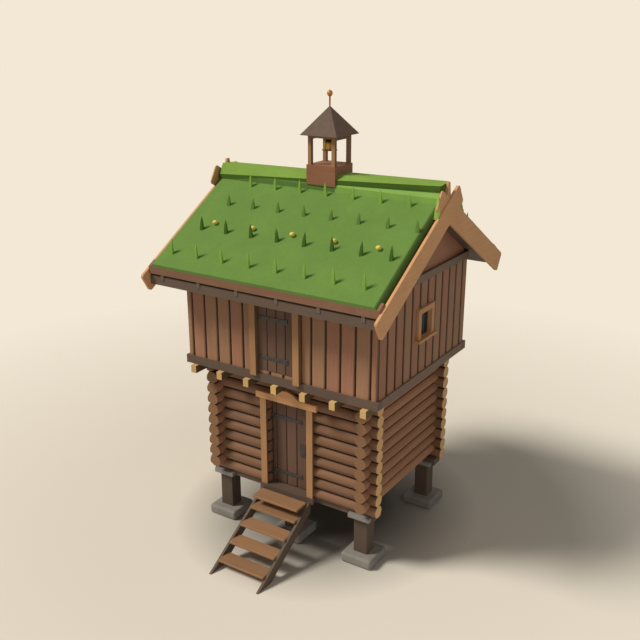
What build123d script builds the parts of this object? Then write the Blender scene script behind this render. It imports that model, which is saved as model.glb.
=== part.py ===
"""Raised storehouse of logs and boards with a turf roof and a small bell turret.

Millimetres, +Z up. The origin is on the ground under the middle of the whole object, stair
included; +X runs along the front to the right and the door faces -Y. The sizes below are taken
from the centre of the log storey, and save() moves every finished piece to the origin.
"""

import os
from math import cos, radians, sin, sqrt, tan

from build123d import *

os.makedirs("parts", exist_ok=True)

# ---------------------------------------------------------------- sizes: the ground and the posts
STOREY_Y = 357.0  # centre of the log storey behind the middle of the whole object
STONE_SIZE = 650.0  # side of a square base stone
STONE_HEIGHT = 200.0
STONE_ROUND = 50.0
POST_SIZE = 280.0
POST_HEIGHT = 750.0
POST_X = 1600.0  # corner posts from the centre
POST_Y = 1270.0
CAP_SIZE = 456.0  # flat stone on each post
CAP_THICKNESS = 85.0
BEARER_WIDTH = 270.0
BEARER_HEIGHT = 137.0
BEARER_OVERHANG = 285.0  # past the centre of the corner post
BEARER_SEAT = 72.0  # how deep a bearer is housed over a cap stone

# ---------------------------------------------------------------- sizes: the log storey
COURSE = 230.0  # rise of one log course
LOG_DIAMETER = 232.0  # a little over a course, so that each log beds on the one below
FRONT_COURSES = 10
SIDE_COURSES = 9
LOG_X = 1690.0  # axes of the side walls
LOG_Y = 1366.0  # axes of the front and back walls
LOG_OVERHANG = 262.0  # log ends past the crossing
LOG_SEAT = 40.0  # how deep the lowest logs are scribed over the bearers
FLOOR_THICKNESS = 75.0
DOOR_OPENING_HALF = 470.0
DOOR_OPENING_HEIGHT = 1830.0
THRESHOLD_HALF = 620.0
THRESHOLD_DEPTH = 148.0
THRESHOLD_THICKNESS = 65.0
THRESHOLD_APRON = 60.0  # board under its front edge
THRESHOLD_APRON_THICKNESS = 50.0
CASING_WIDTH = 140.0
CASING_THICKNESS = 50.0
CASING_OVERLAP = 8.0  # how far the casing stands in over the opening
CASING_HEIGHT = 1840.0
LINTEL_HALF = 690.0
LINTEL_HEIGHT = 130.0
LINTEL_THICKNESS = 60.0
CREST_HALF = 290.0
CREST_RISE = 130.0

# ---------------------------------------------------------------- sizes: the lower door
LEAF_SIDE_GAP = 20.0
LEAF_BOTTOM_GAP = 10.0
LEAF_TOP_GAP = 10.0
LEAF_THICKNESS = 55.0
LEAF_SETBACK = 142.0  # leaf face behind the face of the logs
STRAP_HEIGHT = 70.0
STRAP_THICKNESS = 12.0
STRAP_LENGTH = 700.0
STRAP_LOW = 250.0  # strap centres above the foot of the leaf
STRAP_HIGH = 1430.0
KNUCKLE_RADIUS = 11.0
PIN_RADIUS = 5.0
PIN_CLEARANCE = 0.3
HINGE_FROM_LEAF = 2.0  # hinge axis beside the edge of the leaf
PINTLE_GAP = 2.0
PINTLE_BOSS_HEIGHT = 20.0
PINTLE_PLATE = 6.0
PINTLE_PLATE_WIDTH = 50.0
PINTLE_PLATE_HEIGHT = 80.0
PINTLE_ARM = 16.0
LOCK_WIDTH = 125.0
LOCK_HEIGHT = 250.0
LOCK_THICKNESS = 18.0
LOCK_INSET = 120.0  # lock plate in from the free edge of the leaf
LOCK_FOOT = 715.0

# ---------------------------------------------------------------- sizes: the upper storey
JOIST_COUNT = 7
JOIST_SPACING = 633.0
JOIST_WIDTH = 120.0
JOIST_HEIGHT = 150.0
JOIST_HALF_LENGTH = 1917.0
JOIST_SEAT = 72.0  # how deep the joists are housed in the top logs
SILL_X = 2134.0  # outer faces of the sill ring
SILL_Y = 1830.0
SILL_WIDTH = 180.0
SILL_HEIGHT = 160.0
UPPER_FLOOR_THICKNESS = 40.0
BOARD_X = 2060.0  # outer faces of the upper walls
BOARD_Y = 1756.0
UPPER_WALL = 100.0
SIDE_WALL_HEIGHT = 1765.0
TIE_HEIGHT = 140.0
TIE_PROUD = 74.0
GABLE_PANEL = 60.0
BAY_POST_IN = 410.0  # inner edge of a bay post from the centre
BAY_POST_WIDTH = 135.0
BAY_POST_DEPTH = 129.0
BAY_POST_LAP = 45.0  # how far a bay post laps down over the sill
UPPER_DOOR_HALF = 405.0
UPPER_DOOR_FOOT = 65.0  # above the sill
UPPER_DOOR_HEIGHT = 1500.0
UPPER_DOOR_THICKNESS = 44.0
UPPER_DOOR_LAP = 35.0  # leaf over the edge of its opening
WINDOW_Y = -60.0
WINDOW_WIDTH = 430.0
WINDOW_HEIGHT = 480.0
WINDOW_FOOT = 690.0  # opening above the sill ring
WINDOW_FRAME = 100.0
WINDOW_PROUD = 90.0
WINDOW_SILL_PROUD = 140.0
WINDOW_SILL_HALF = 365.0
WINDOW_SILL_THICKNESS = 50.0
GLASS_THICKNESS = 8.0
GLASS_SETBACK = 62.0

# ---------------------------------------------------------------- sizes: the roof
RIDGE_Z = 6970.0  # where the two turf slopes would meet
PITCH = 31.0  # degrees
TURF_THICKNESS = 214.0
TURF_FROM_VERGE = 50.0  # end of the turf in from the end of the deck
TURF_ROUND = 70.0  # its rounded edge along a verge
DECK_THICKNESS = 138.0
DECK_SLOPE_LENGTH = 2897.0
DECK_HALF = 2440.0
RIDGE_BEAM_HALF = 200.0
RIDGE_BEAM_FOOT = 205.0  # its underside below the peak of the deck's underside
TURF_LOG_PAST = 27.0  # plumb face of the squared log past the upper edge of the deck
TURF_LOG_DEPTH = 150.0
TURF_LOG_GAP = 55.0  # drain gap under the log, over the deck
TURF_OVER_LOG = 40.0  # turf that laps over the log
HOOK_COUNT = 6
HOOK_SPACING = 855.0
HOOK_WIDTH = 70.0
HOOK_THICKNESS = 12.0
HOOK_ARM = 115.0
HOOK_LEG = 45.0
VERGE_BOARD_WIDTH = 385.0
VERGE_BOARD_THICKNESS = 50.0
VERGE_BOARD_DROP = 100.0  # its upper edge below the turf, straight down
VERGE_BOARD_PAST = 103.0  # how far its upper edge runs on past the deck, along Y
VERGE_BOARD_HEAD = 322.0  # how far it runs on past the ridge, along Y
VERGE_BOARD_ROUND = 55.0
TURF_LAP = 215.0  # how far the back turf laps over the ridge
# (y, z) of the ends of the ridge turf: foot and brow of its front, its crown, its back edge
RIDGE_CAP_LEFT = ((-297.0, 6793.0), (-304.0, 6884.0), (-185.0, 7085.0), (120.0, 7065.0))
RIDGE_CAP_RIGHT = ((-266.0, 7028.0), (-275.0, 7113.0), (-180.0, 7110.0), (82.0, 7146.0))
RIDGE_STOP_TOP = 7150.0
RIDGE_STOP_HALF = 110.0  # at the deck
RIDGE_STOP_TIP = 35.0  # half width at the top
RIDGE_STOP_THICKNESS = 46.0

# ---------------------------------------------------------------- sizes: the bell turret
TURRET_HALF = 312.0
TURRET_TOP = 7253.0
TURRET_FRONT_FOOT = 6890.0  # underside of the front boards, which stand on the turf
TURRET_STEP_BACK = 200.0  # in front of here the base goes no lower than its front boards
TURRET_BOARD = 40.0
TURRET_POST = 70.0
TURRET_POST_AT = 256.0
TURRET_POST_HEIGHT = 537.0
TURRET_PLATE_HEIGHT = 45.0
TURRET_BEARING_HEIGHT = 72.0  # the two plates that carry the bell's yoke
TURRET_EAVE_HALF = 394.0
TURRET_EAVE_EDGE = 8.0
TURRET_ROOF_BEARING = 6.0  # how far the roof bears on the frame inside its posts
TURRET_ROOF_RISE = 497.0
FINIAL_ROD_RADIUS = 18.0
FINIAL_ROD_HEIGHT = 190.0
FINIAL_KNOB_RADIUS = 57.0
YOKE_LENGTH = 420.0
YOKE_WIDTH = 60.0
YOKE_ABOVE = 30.0  # over the swing axis
YOKE_BELOW = 30.0
YOKE_PIN_RADIUS = 8.0
YOKE_PIN_CLEARANCE = 0.3
YOKE_DROP = 52.0  # swing axis below the top of the turret posts
BELL_LIP_RADIUS = 150.0
BELL_HEIGHT = 195.0
BELL_WALL = 11.0
BELL_HANGER_RADIUS = 22.0
BELL_HANGER = 10.0

# ---------------------------------------------------------------- sizes: the stair
STEP_RISE = 207.0
STEP_RUN = 341.0
STEP_COUNT = 4  # treads below the top one
STEP_DEPTH = 315.0
STEP_THICKNESS = 46.0
TOP_STEP_DEPTH = 340.0
TOP_STEP_BACK = 64.0  # gap from the threshold to the top tread
TOP_STEP_RUN = 82.0  # front of the top tread behind the front of the one below
STAIR_HALF = 520.0
STRINGER_THICKNESS = 50.0
STRINGER_DEPTH = 208.0
STRINGER_DROP = 75.0  # stringer edge below the nosing of each tread
STRINGER_HEAD_DROP = 20.0  # its level head below the top tread

# ---------------------------------------------------------------- levels and places worked out
LOG_RADIUS = LOG_DIAMETER / 2
POST_TOP = STONE_HEIGHT + POST_HEIGHT
CAP_TOP = POST_TOP + CAP_THICKNESS
BEARER_FOOT = CAP_TOP - BEARER_SEAT
BEARER_TOP = BEARER_FOOT + BEARER_HEIGHT
LOWEST_LOG = BEARER_TOP - LOG_SEAT + LOG_RADIUS
FLOOR_TOP = BEARER_TOP + FLOOR_THICKNESS
THRESHOLD_TOP = CAP_TOP + THRESHOLD_THICKNESS
LOG_FACE = LOG_Y + LOG_RADIUS
THRESHOLD_BACK = POST_Y + BEARER_WIDTH / 2
THRESHOLD_FRONT = THRESHOLD_BACK + THRESHOLD_DEPTH
OPENING_TOP = THRESHOLD_TOP + DOOR_OPENING_HEIGHT
CASING_IN = DOOR_OPENING_HALF - CASING_OVERLAP
CASING_TOP = THRESHOLD_TOP + CASING_HEIGHT
LEAF_HALF = DOOR_OPENING_HALF - LEAF_SIDE_GAP
LEAF_FOOT = THRESHOLD_TOP + LEAF_BOTTOM_GAP
LEAF_TOP = OPENING_TOP - LEAF_TOP_GAP
LEAF_FACE = LOG_FACE - LEAF_SETBACK
HINGE_X = -LEAF_HALF - HINGE_FROM_LEAF
HINGE_Y = -LEAF_FACE - STRAP_THICKNESS / 2 - STRAP_THICKNESS
TOP_LOG = LOWEST_LOG + (FRONT_COURSES - 1) * COURSE
JOIST_FOOT = TOP_LOG + LOG_RADIUS - JOIST_SEAT
JOIST_TOP = JOIST_FOOT + JOIST_HEIGHT
SILL_TOP = JOIST_TOP + SILL_HEIGHT
SIDE_WALL_TOP = SILL_TOP + SIDE_WALL_HEIGHT
TIE_TOP = SIDE_WALL_TOP + TIE_HEIGHT
SLOPE = tan(radians(PITCH))
ACROSS = cos(radians(PITCH))
DOWN = sin(radians(PITCH))
DECK_PEAK = RIDGE_Z - TURF_THICKNESS / ACROSS
SOFFIT_PEAK = DECK_PEAK - DECK_THICKNESS / ACROSS
VERGE_IN = DECK_HALF
VERGE_OUT = VERGE_IN + VERGE_BOARD_THICKNESS
VERGE_PEAK = RIDGE_Z - VERGE_BOARD_DROP
VERGE_FOOT_Y = ACROSS * DECK_SLOPE_LENGTH + VERGE_BOARD_PAST
TURF_HALF = DECK_HALF - TURF_FROM_VERGE
DECK_OUT = -TURF_THICKNESS
SOFFIT_OUT = -TURF_THICKNESS - DECK_THICKNESS
DECK_END = ACROSS * DECK_SLOPE_LENGTH + DOWN * DECK_OUT
TURF_LOG_FACE = DECK_END + TURF_LOG_PAST
TURF_LOG_BACK = TURF_LOG_FACE - TURF_LOG_DEPTH
TURF_LOG_FOOT = DECK_OUT + TURF_LOG_GAP
TURRET_POST_TOP = TURRET_TOP + TURRET_POST_HEIGHT
SWING_Z = TURRET_POST_TOP - YOKE_DROP
TOP_STEP_Z = (STEP_COUNT + 1) * STEP_RISE
TOP_STEP_BACK_Y = -THRESHOLD_FRONT - TOP_STEP_BACK
FIRST_STEP_FRONT = TOP_STEP_BACK_Y - TOP_STEP_DEPTH - TOP_STEP_RUN - (STEP_COUNT - 1) * STEP_RUN
REACH = 10000.0  # longer than any piece, for cutting tools


# ---------------------------------------------------------------- helpers
def block(x, y, z, mode=Mode.ADD):
    """A rectangular timber between the two values given along each axis."""
    with Locations(((x[0] + x[1]) / 2, (y[0] + y[1]) / 2, (z[0] + z[1]) / 2)):
        Box(abs(x[1] - x[0]), abs(y[1] - y[0]), abs(z[1] - z[0]), mode=mode)


def save(piece, name):
    """Moves a finished piece to the common origin, labels it and writes it to its own file."""
    placed = Pos(0, STOREY_Y, 0) * piece.part
    placed.label = name
    export_step(placed, f"parts/{name}.step")


def on_slope(side, along, out):
    """(y, z) of a point on a roof slope: side -1 is the front, along runs down from the ridge,
    out is the height square to the turf's surface."""
    return (side * (ACROSS * along + DOWN * out), RIDGE_Z - DOWN * along + ACROSS * out)


def at_level(side, y, out):
    """(y, z) of a point on a roof slope a level distance y from the ridge, out as in on_slope."""
    return (side * y, RIDGE_Z - SLOPE * y + out / ACROSS)


def prism(points, half):
    """Extrudes an outline in the YZ plane evenly to both sides of the centre."""
    with BuildSketch(Plane.YZ) as outline:
        with BuildLine():
            Polyline(*points, close=True)
        make_face()
    extrude(outline.sketch, amount=half, both=True)


def below_peak(peak, mode=Mode.SUBTRACT):
    """Everything under two roof slopes that meet at the height given."""
    drop = REACH * SLOPE
    with BuildSketch(Plane.YZ) as outline:
        with BuildLine():
            Polyline((0, peak), (REACH, peak - drop), (REACH, -REACH), (-REACH, -REACH),
                     (-REACH, peak - drop), close=True)
        make_face()
    extrude(outline.sketch, amount=REACH, both=True, mode=mode)


def above_peak(peak):
    """Cuts away everything over two roof slopes that meet at the height given."""
    drop = REACH * SLOPE
    with BuildSketch(Plane.YZ) as outline:
        with BuildLine():
            Polyline((0, peak), (REACH, peak - drop), (REACH, REACH * 2), (-REACH, REACH * 2),
                     (-REACH, peak - drop), close=True)
        make_face()
    extrude(outline.sketch, amount=REACH, both=True, mode=Mode.SUBTRACT)


POST_PLACES = [(x, y) for x in (-POST_X, 0, POST_X) for y in (-POST_Y, POST_Y)]


# ---------------------------------------------------------------- stones, posts and bearers
with BuildPart() as base_stones:
    with Locations(*[(x, y, STONE_HEIGHT / 2) for x, y in POST_PLACES]):
        Box(STONE_SIZE, STONE_SIZE, STONE_HEIGHT)
    fillet(base_stones.edges(), STONE_ROUND)
save(base_stones, "base_stones")

with BuildPart() as posts:
    with Locations(*[(x, y, STONE_HEIGHT + POST_HEIGHT / 2) for x, y in POST_PLACES]):
        Box(POST_SIZE, POST_SIZE, POST_HEIGHT)
save(posts, "posts")

with BuildPart() as cap_stones:
    with Locations(*[(x, y, POST_TOP + CAP_THICKNESS / 2) for x, y in POST_PLACES]):
        Box(CAP_SIZE, CAP_SIZE, CAP_THICKNESS)
save(cap_stones, "cap_stones")

with BuildPart() as bearers:
    for y in (-POST_Y, POST_Y):
        block((-POST_X - BEARER_OVERHANG, POST_X + BEARER_OVERHANG),
              (y - BEARER_WIDTH / 2, y + BEARER_WIDTH / 2), (BEARER_FOOT, BEARER_TOP))
    add(cap_stones.part, mode=Mode.SUBTRACT)
save(bearers, "bearers")

with BuildPart() as ground_floor:
    block((-LOG_X + LOG_RADIUS / 2, LOG_X - LOG_RADIUS / 2),
          (-LOG_Y + LOG_RADIUS, LOG_Y - LOG_RADIUS), (BEARER_TOP, FLOOR_TOP))
save(ground_floor, "ground_floor")

with BuildPart() as threshold:
    block((-THRESHOLD_HALF, THRESHOLD_HALF), (-THRESHOLD_FRONT, -THRESHOLD_BACK),
          (CAP_TOP, THRESHOLD_TOP))
    block((-THRESHOLD_HALF, THRESHOLD_HALF),
          (-THRESHOLD_FRONT, -THRESHOLD_FRONT + THRESHOLD_APRON_THICKNESS),
          (CAP_TOP - THRESHOLD_APRON, CAP_TOP))
save(threshold, "threshold")

# ---------------------------------------------------------------- joists under the upper storey
with BuildPart() as joists:
    first = -(JOIST_COUNT - 1) / 2 * JOIST_SPACING
    with Locations(*[(first + i * JOIST_SPACING, 0, JOIST_FOOT + JOIST_HEIGHT / 2)
                     for i in range(JOIST_COUNT)]):
        Box(JOIST_WIDTH, JOIST_HALF_LENGTH * 2, JOIST_HEIGHT)
save(joists, "joists")


# ---------------------------------------------------------------- log walls
def long_log(y, z):
    """A log of the front or back wall."""
    with Locations(Location((0, y, z), (0, 90, 0))):
        Cylinder(LOG_RADIUS, (LOG_X + LOG_OVERHANG) * 2)


def cross_log(x, z, mode=Mode.ADD):
    """A log of a side wall."""
    with Locations(Location((x, 0, z), (90, 0, 0))):
        Cylinder(LOG_RADIUS, (LOG_Y + LOG_OVERHANG) * 2, mode=mode)


def notched_long_log(y, course):
    """One front or back log, saddled over the side logs half a course below it."""
    z = LOWEST_LOG + course * COURSE
    with BuildPart() as log:
        long_log(y, z)
        if course > 0:
            for x in (-LOG_X, LOG_X):
                cross_log(x, z - COURSE / 2, Mode.SUBTRACT)
    return log.part


def notched_cross_log(x, course):
    """One side log, saddled over the front and back logs half a course below it."""
    z = LOWEST_LOG + (course + 0.5) * COURSE
    with BuildPart() as log:
        cross_log(x, z)
        for y in (-LOG_Y, LOG_Y):
            with Locations(Location((0, y, z - COURSE / 2), (0, 90, 0))):
                Cylinder(LOG_RADIUS, (LOG_X + LOG_OVERHANG) * 2, mode=Mode.SUBTRACT)
    return log.part


def log_wall(logs):
    """Beds the logs of one wall on each other."""
    with BuildPart() as wall:
        for log in logs:
            add(log)
    return wall.part


COURSES_BESIDE_DOOR = int((OPENING_TOP - LOWEST_LOG + COURSE / 2) / COURSE)
front_logs = [notched_long_log(-LOG_Y, i) for i in range(FRONT_COURSES)]
wall_beside_door = log_wall(front_logs[:COURSES_BESIDE_DOOR])
wall_over_door = log_wall(front_logs[COURSES_BESIDE_DOOR:])

with BuildPart() as front_wall_over_door:
    add(wall_over_door)
    block((-DOOR_OPENING_HALF, DOOR_OPENING_HALF), (-LOG_FACE, -LOG_Y + LOG_RADIUS),
          (BEARER_TOP, OPENING_TOP), Mode.SUBTRACT)
    add(joists.part, mode=Mode.SUBTRACT)
save(front_wall_over_door, "front_wall_over_door")

for name, x in (("front_wall_left", (-DOOR_OPENING_HALF, REACH)),
                ("front_wall_right", (-REACH, DOOR_OPENING_HALF))):
    with BuildPart() as beside:
        add(wall_beside_door)
        block(x, (-REACH, REACH), (0, REACH), Mode.SUBTRACT)
        add(wall_over_door, mode=Mode.SUBTRACT)
        add(bearers.part, mode=Mode.SUBTRACT)
        add(threshold.part, mode=Mode.SUBTRACT)
    save(beside, name)

back_logs = [notched_long_log(LOG_Y, i) for i in range(FRONT_COURSES)]
with BuildPart() as back_log_wall:
    add(log_wall(back_logs))
    add(bearers.part, mode=Mode.SUBTRACT)
    add(joists.part, mode=Mode.SUBTRACT)
save(back_log_wall, "back_log_wall")

for name, x in (("left_log_wall", -LOG_X), ("right_log_wall", LOG_X)):
    side_logs = [notched_cross_log(x, i) for i in range(SIDE_COURSES)]
    with BuildPart() as side_wall:
        add(log_wall(side_logs))
    save(side_wall, name)

# ---------------------------------------------------------------- door casing
with BuildPart() as door_jambs:
    for side in (-1, 1):
        block((side * CASING_IN, side * (CASING_IN + CASING_WIDTH)),
              (-LOG_FACE - CASING_THICKNESS, -LOG_FACE), (THRESHOLD_TOP, CASING_TOP))
save(door_jambs, "door_jambs")

with BuildPart() as door_lintel:
    with BuildSketch(Plane.XZ.offset(LOG_FACE)) as lintel_face:
        with Locations((0, CASING_TOP + LINTEL_HEIGHT / 2)):
            Rectangle(LINTEL_HALF * 2, LINTEL_HEIGHT)
        with BuildLine():
            crest_foot = CASING_TOP + LINTEL_HEIGHT
            ThreePointArc((-CREST_HALF, crest_foot), (0, crest_foot + CREST_RISE), (CREST_HALF, crest_foot))
            Line((CREST_HALF, crest_foot), (-CREST_HALF, crest_foot))
        make_face()
    extrude(amount=LINTEL_THICKNESS)
save(door_lintel, "door_lintel")

# ---------------------------------------------------------------- lower door, hung on the left
STRAP_LEVELS = (LEAF_FOOT + STRAP_LOW, LEAF_FOOT + STRAP_HIGH)

with BuildPart() as door_leaf:
    block((-LEAF_HALF, LEAF_HALF), (-LEAF_FACE, -LEAF_FACE + LEAF_THICKNESS), (LEAF_FOOT, LEAF_TOP))
save(door_leaf, "door_leaf")

with BuildPart() as door_straps:
    for z in STRAP_LEVELS:
        block((HINGE_X, HINGE_X + STRAP_LENGTH), (-LEAF_FACE - STRAP_THICKNESS, -LEAF_FACE),
              (z - STRAP_HEIGHT / 2, z + STRAP_HEIGHT / 2))
        with Locations((HINGE_X, HINGE_Y, z)):
            Cylinder(KNUCKLE_RADIUS, STRAP_HEIGHT)
            Cylinder(PIN_RADIUS + PIN_CLEARANCE, STRAP_HEIGHT, mode=Mode.SUBTRACT)
save(door_straps, "door_straps")

with BuildPart() as door_lock:
    lock_foot = LEAF_FOOT + LOCK_FOOT
    block((LEAF_HALF - LOCK_INSET - LOCK_WIDTH, LEAF_HALF - LOCK_INSET),
          (-LEAF_FACE - LOCK_THICKNESS, -LEAF_FACE), (lock_foot, lock_foot + LOCK_HEIGHT))
save(door_lock, "door_lock")

with BuildPart() as door_pintles:
    for z in STRAP_LEVELS:
        boss_top = z - STRAP_HEIGHT / 2 - PINTLE_GAP
        with Locations((HINGE_X, HINGE_Y, boss_top - PINTLE_BOSS_HEIGHT / 2)):
            Cylinder(KNUCKLE_RADIUS, PINTLE_BOSS_HEIGHT)
        with Locations((HINGE_X, HINGE_Y, boss_top)):
            Cylinder(PIN_RADIUS, STRAP_HEIGHT + PINTLE_GAP, align=(Align.CENTER, Align.CENTER, Align.MIN))
        block((-DOOR_OPENING_HALF, HINGE_X), (HINGE_Y - PINTLE_ARM / 2, HINGE_Y + PINTLE_ARM / 2),
              (boss_top - PINTLE_BOSS_HEIGHT, boss_top))
        block((-DOOR_OPENING_HALF, -DOOR_OPENING_HALF + PINTLE_PLATE),
              (HINGE_Y - PINTLE_PLATE_WIDTH / 2, HINGE_Y + PINTLE_PLATE_WIDTH / 2),
              (boss_top - PINTLE_PLATE_HEIGHT, boss_top))
save(door_pintles, "door_pintles")

# ---------------------------------------------------------------- upper storey
with BuildPart() as long_sills:
    for side in (-1, 1):
        block((-SILL_X, SILL_X), (side * (SILL_Y - SILL_WIDTH), side * SILL_Y), (JOIST_TOP, SILL_TOP))
save(long_sills, "long_sills")

with BuildPart() as end_sills:
    for side in (-1, 1):
        block((side * (SILL_X - SILL_WIDTH), side * SILL_X), (-SILL_Y + SILL_WIDTH, SILL_Y - SILL_WIDTH),
              (JOIST_TOP, SILL_TOP))
save(end_sills, "end_sills")

with BuildPart() as upper_floor:
    block((-SILL_X + SILL_WIDTH, SILL_X - SILL_WIDTH), (-SILL_Y + SILL_WIDTH, SILL_Y - SILL_WIDTH),
          (JOIST_TOP, JOIST_TOP + UPPER_FLOOR_THICKNESS))
save(upper_floor, "upper_floor")

with BuildPart() as tie_beams:
    for side in (-1, 1):
        block((side * (BOARD_X - UPPER_WALL), side * (BOARD_X + TIE_PROUD)), (-BOARD_Y, BOARD_Y),
              (SIDE_WALL_TOP, TIE_TOP))
    above_peak(SOFFIT_PEAK)
save(tie_beams, "tie_beams")

UPPER_DOOR_TOP = SILL_TOP + UPPER_DOOR_FOOT + UPPER_DOOR_HEIGHT
for name, side in (("upper_front_wall", -1), ("upper_back_wall", 1)):
    with BuildPart() as long_wall:
        block((-BOARD_X, BOARD_X), (side * (BOARD_Y - UPPER_WALL), side * BOARD_Y), (SILL_TOP, SOFFIT_PEAK))
        above_peak(SOFFIT_PEAK)
        add(tie_beams.part, mode=Mode.SUBTRACT)
        if side < 0:
            half = UPPER_DOOR_HALF - UPPER_DOOR_LAP
            opening_foot = SILL_TOP + UPPER_DOOR_FOOT + UPPER_DOOR_LAP
            block((-half, half), (-BOARD_Y - 1, -BOARD_Y + UPPER_WALL + 1),
                  (opening_foot, UPPER_DOOR_TOP - UPPER_DOOR_LAP), Mode.SUBTRACT)
    save(long_wall, name)

WINDOW_Z = SILL_TOP + WINDOW_FOOT
WINDOW_SPAN_Y = (WINDOW_Y - WINDOW_WIDTH / 2, WINDOW_Y + WINDOW_WIDTH / 2)
WINDOW_SPAN_Z = (WINDOW_Z, WINDOW_Z + WINDOW_HEIGHT)
for name, side in (("upper_left_wall", -1), ("upper_right_wall", 1)):
    with BuildPart() as end_wall:
        block((side * (BOARD_X - UPPER_WALL), side * BOARD_X),
              (-BOARD_Y + UPPER_WALL, BOARD_Y - UPPER_WALL), (SILL_TOP, SIDE_WALL_TOP))
        block((-REACH, REACH), WINDOW_SPAN_Y, WINDOW_SPAN_Z, Mode.SUBTRACT)
    save(end_wall, name)

with BuildPart() as gable_panels:
    for side in (-1, 1):
        block((side * (BOARD_X - GABLE_PANEL), side * BOARD_X),
              (-BOARD_Y + UPPER_WALL, BOARD_Y - UPPER_WALL), (TIE_TOP, SOFFIT_PEAK))
    above_peak(SOFFIT_PEAK)
    block((-DECK_HALF, DECK_HALF), (-RIDGE_BEAM_HALF, RIDGE_BEAM_HALF),
          (SOFFIT_PEAK - RIDGE_BEAM_FOOT, SOFFIT_PEAK), Mode.SUBTRACT)
save(gable_panels, "gable_panels")

with BuildPart() as bay_posts:
    for side in (-1, 1):
        span = (side * BAY_POST_IN, side * (BAY_POST_IN + BAY_POST_WIDTH))
        block(span, (-BOARD_Y - BAY_POST_DEPTH, -BOARD_Y), (SILL_TOP, SOFFIT_PEAK))
        block(span, (-BOARD_Y - BAY_POST_DEPTH, -SILL_Y), (SILL_TOP - BAY_POST_LAP, SILL_TOP))
    above_peak(SOFFIT_PEAK)
save(bay_posts, "bay_posts")

with BuildPart() as upper_door:
    block((-UPPER_DOOR_HALF, UPPER_DOOR_HALF), (-BOARD_Y - UPPER_DOOR_THICKNESS, -BOARD_Y),
          (SILL_TOP + UPPER_DOOR_FOOT, UPPER_DOOR_TOP))
save(upper_door, "upper_door")

with BuildPart() as window_frames:
    frame_y = (WINDOW_SPAN_Y[0] - WINDOW_FRAME, WINDOW_SPAN_Y[1] + WINDOW_FRAME)
    for side in (-1, 1):
        face = side * BOARD_X
        block((face, face + side * WINDOW_PROUD), frame_y, (WINDOW_Z, WINDOW_SPAN_Z[1] + WINDOW_FRAME))
        block((face, face + side * WINDOW_SILL_PROUD),
              (WINDOW_Y - WINDOW_SILL_HALF, WINDOW_Y + WINDOW_SILL_HALF),
              (WINDOW_Z - WINDOW_SILL_THICKNESS, WINDOW_Z))
    block((-REACH, REACH), WINDOW_SPAN_Y, WINDOW_SPAN_Z, Mode.SUBTRACT)
save(window_frames, "window_frames")

with BuildPart() as window_glass:
    for side in (-1, 1):
        pane = side * (BOARD_X - GLASS_SETBACK)
        block((pane, pane - side * GLASS_THICKNESS), WINDOW_SPAN_Y, WINDOW_SPAN_Z)
save(window_glass, "window_glass")

# ---------------------------------------------------------------- roof
for name, side in (("front_roof_deck", -1), ("back_roof_deck", 1)):
    with BuildPart() as deck:
        prism([(0, DECK_PEAK), at_level(side, DECK_END, DECK_OUT), at_level(side, DECK_END, SOFFIT_OUT),
               (0, SOFFIT_PEAK)], DECK_HALF)
    save(deck, name)

with BuildPart() as ridge_beam:
    block((-DECK_HALF, DECK_HALF), (-RIDGE_BEAM_HALF, RIDGE_BEAM_HALF),
          (SOFFIT_PEAK - RIDGE_BEAM_FOOT, SOFFIT_PEAK))
    above_peak(SOFFIT_PEAK)
save(ridge_beam, "ridge_beam")


def turret_hole():
    """Cuts the space that the base of the bell turret fills."""
    block((-TURRET_HALF, TURRET_HALF), (-TURRET_HALF, TURRET_HALF), (TURRET_FRONT_FOOT, REACH),
          Mode.SUBTRACT)
    block((-TURRET_HALF, TURRET_HALF), (-TURRET_STEP_BACK, TURRET_HALF), (0, REACH), Mode.SUBTRACT)


with BuildPart() as ridge_cap:
    for x, end in ((-TURF_HALF, RIDGE_CAP_LEFT), (TURF_HALF, RIDGE_CAP_RIGHT)):
        with BuildSketch(Plane.YZ.offset(x)):
            with BuildLine():
                Polyline(*end, at_level(1, end[-1][0], 0), close=True)
            make_face()
    loft(ruled=True)
    turret_hole()
save(ridge_cap, "ridge_cap")

LAP_FOOT = on_slope(1, -TURF_LAP, DECK_OUT)


def round_verges():
    """Rounds the upper edge of a turf slope at both ends of the roof."""
    slopes = edges().filter_by(Axis.X, reverse=True).sort_by(SortBy.LENGTH)[-4:]
    fillet(slopes.sort_by(Axis.Z)[-2:], TURF_ROUND)


with BuildPart() as back_turf:
    prism([on_slope(1, -TURF_LAP, 0), at_level(1, TURF_LOG_FACE, 0),
           at_level(1, TURF_LOG_FACE, -TURF_OVER_LOG), at_level(1, TURF_LOG_BACK, -TURF_OVER_LOG),
           at_level(1, TURF_LOG_BACK, DECK_OUT), (0, DECK_PEAK), LAP_FOOT], TURF_HALF)
    round_verges()
    add(ridge_cap.part, mode=Mode.SUBTRACT)
    turret_hole()
save(back_turf, "back_turf")

with BuildPart() as front_turf:
    prism([(0, RIDGE_Z), LAP_FOOT, at_level(-1, -LAP_FOOT[0], 0), at_level(-1, TURF_LOG_FACE, 0),
           at_level(-1, TURF_LOG_FACE, -TURF_OVER_LOG), at_level(-1, TURF_LOG_BACK, -TURF_OVER_LOG),
           at_level(-1, TURF_LOG_BACK, DECK_OUT), (0, DECK_PEAK)], TURF_HALF)
    round_verges()
    add(ridge_cap.part, mode=Mode.SUBTRACT)
    turret_hole()
    add(back_turf.part, mode=Mode.SUBTRACT)
save(front_turf, "front_turf")

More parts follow.
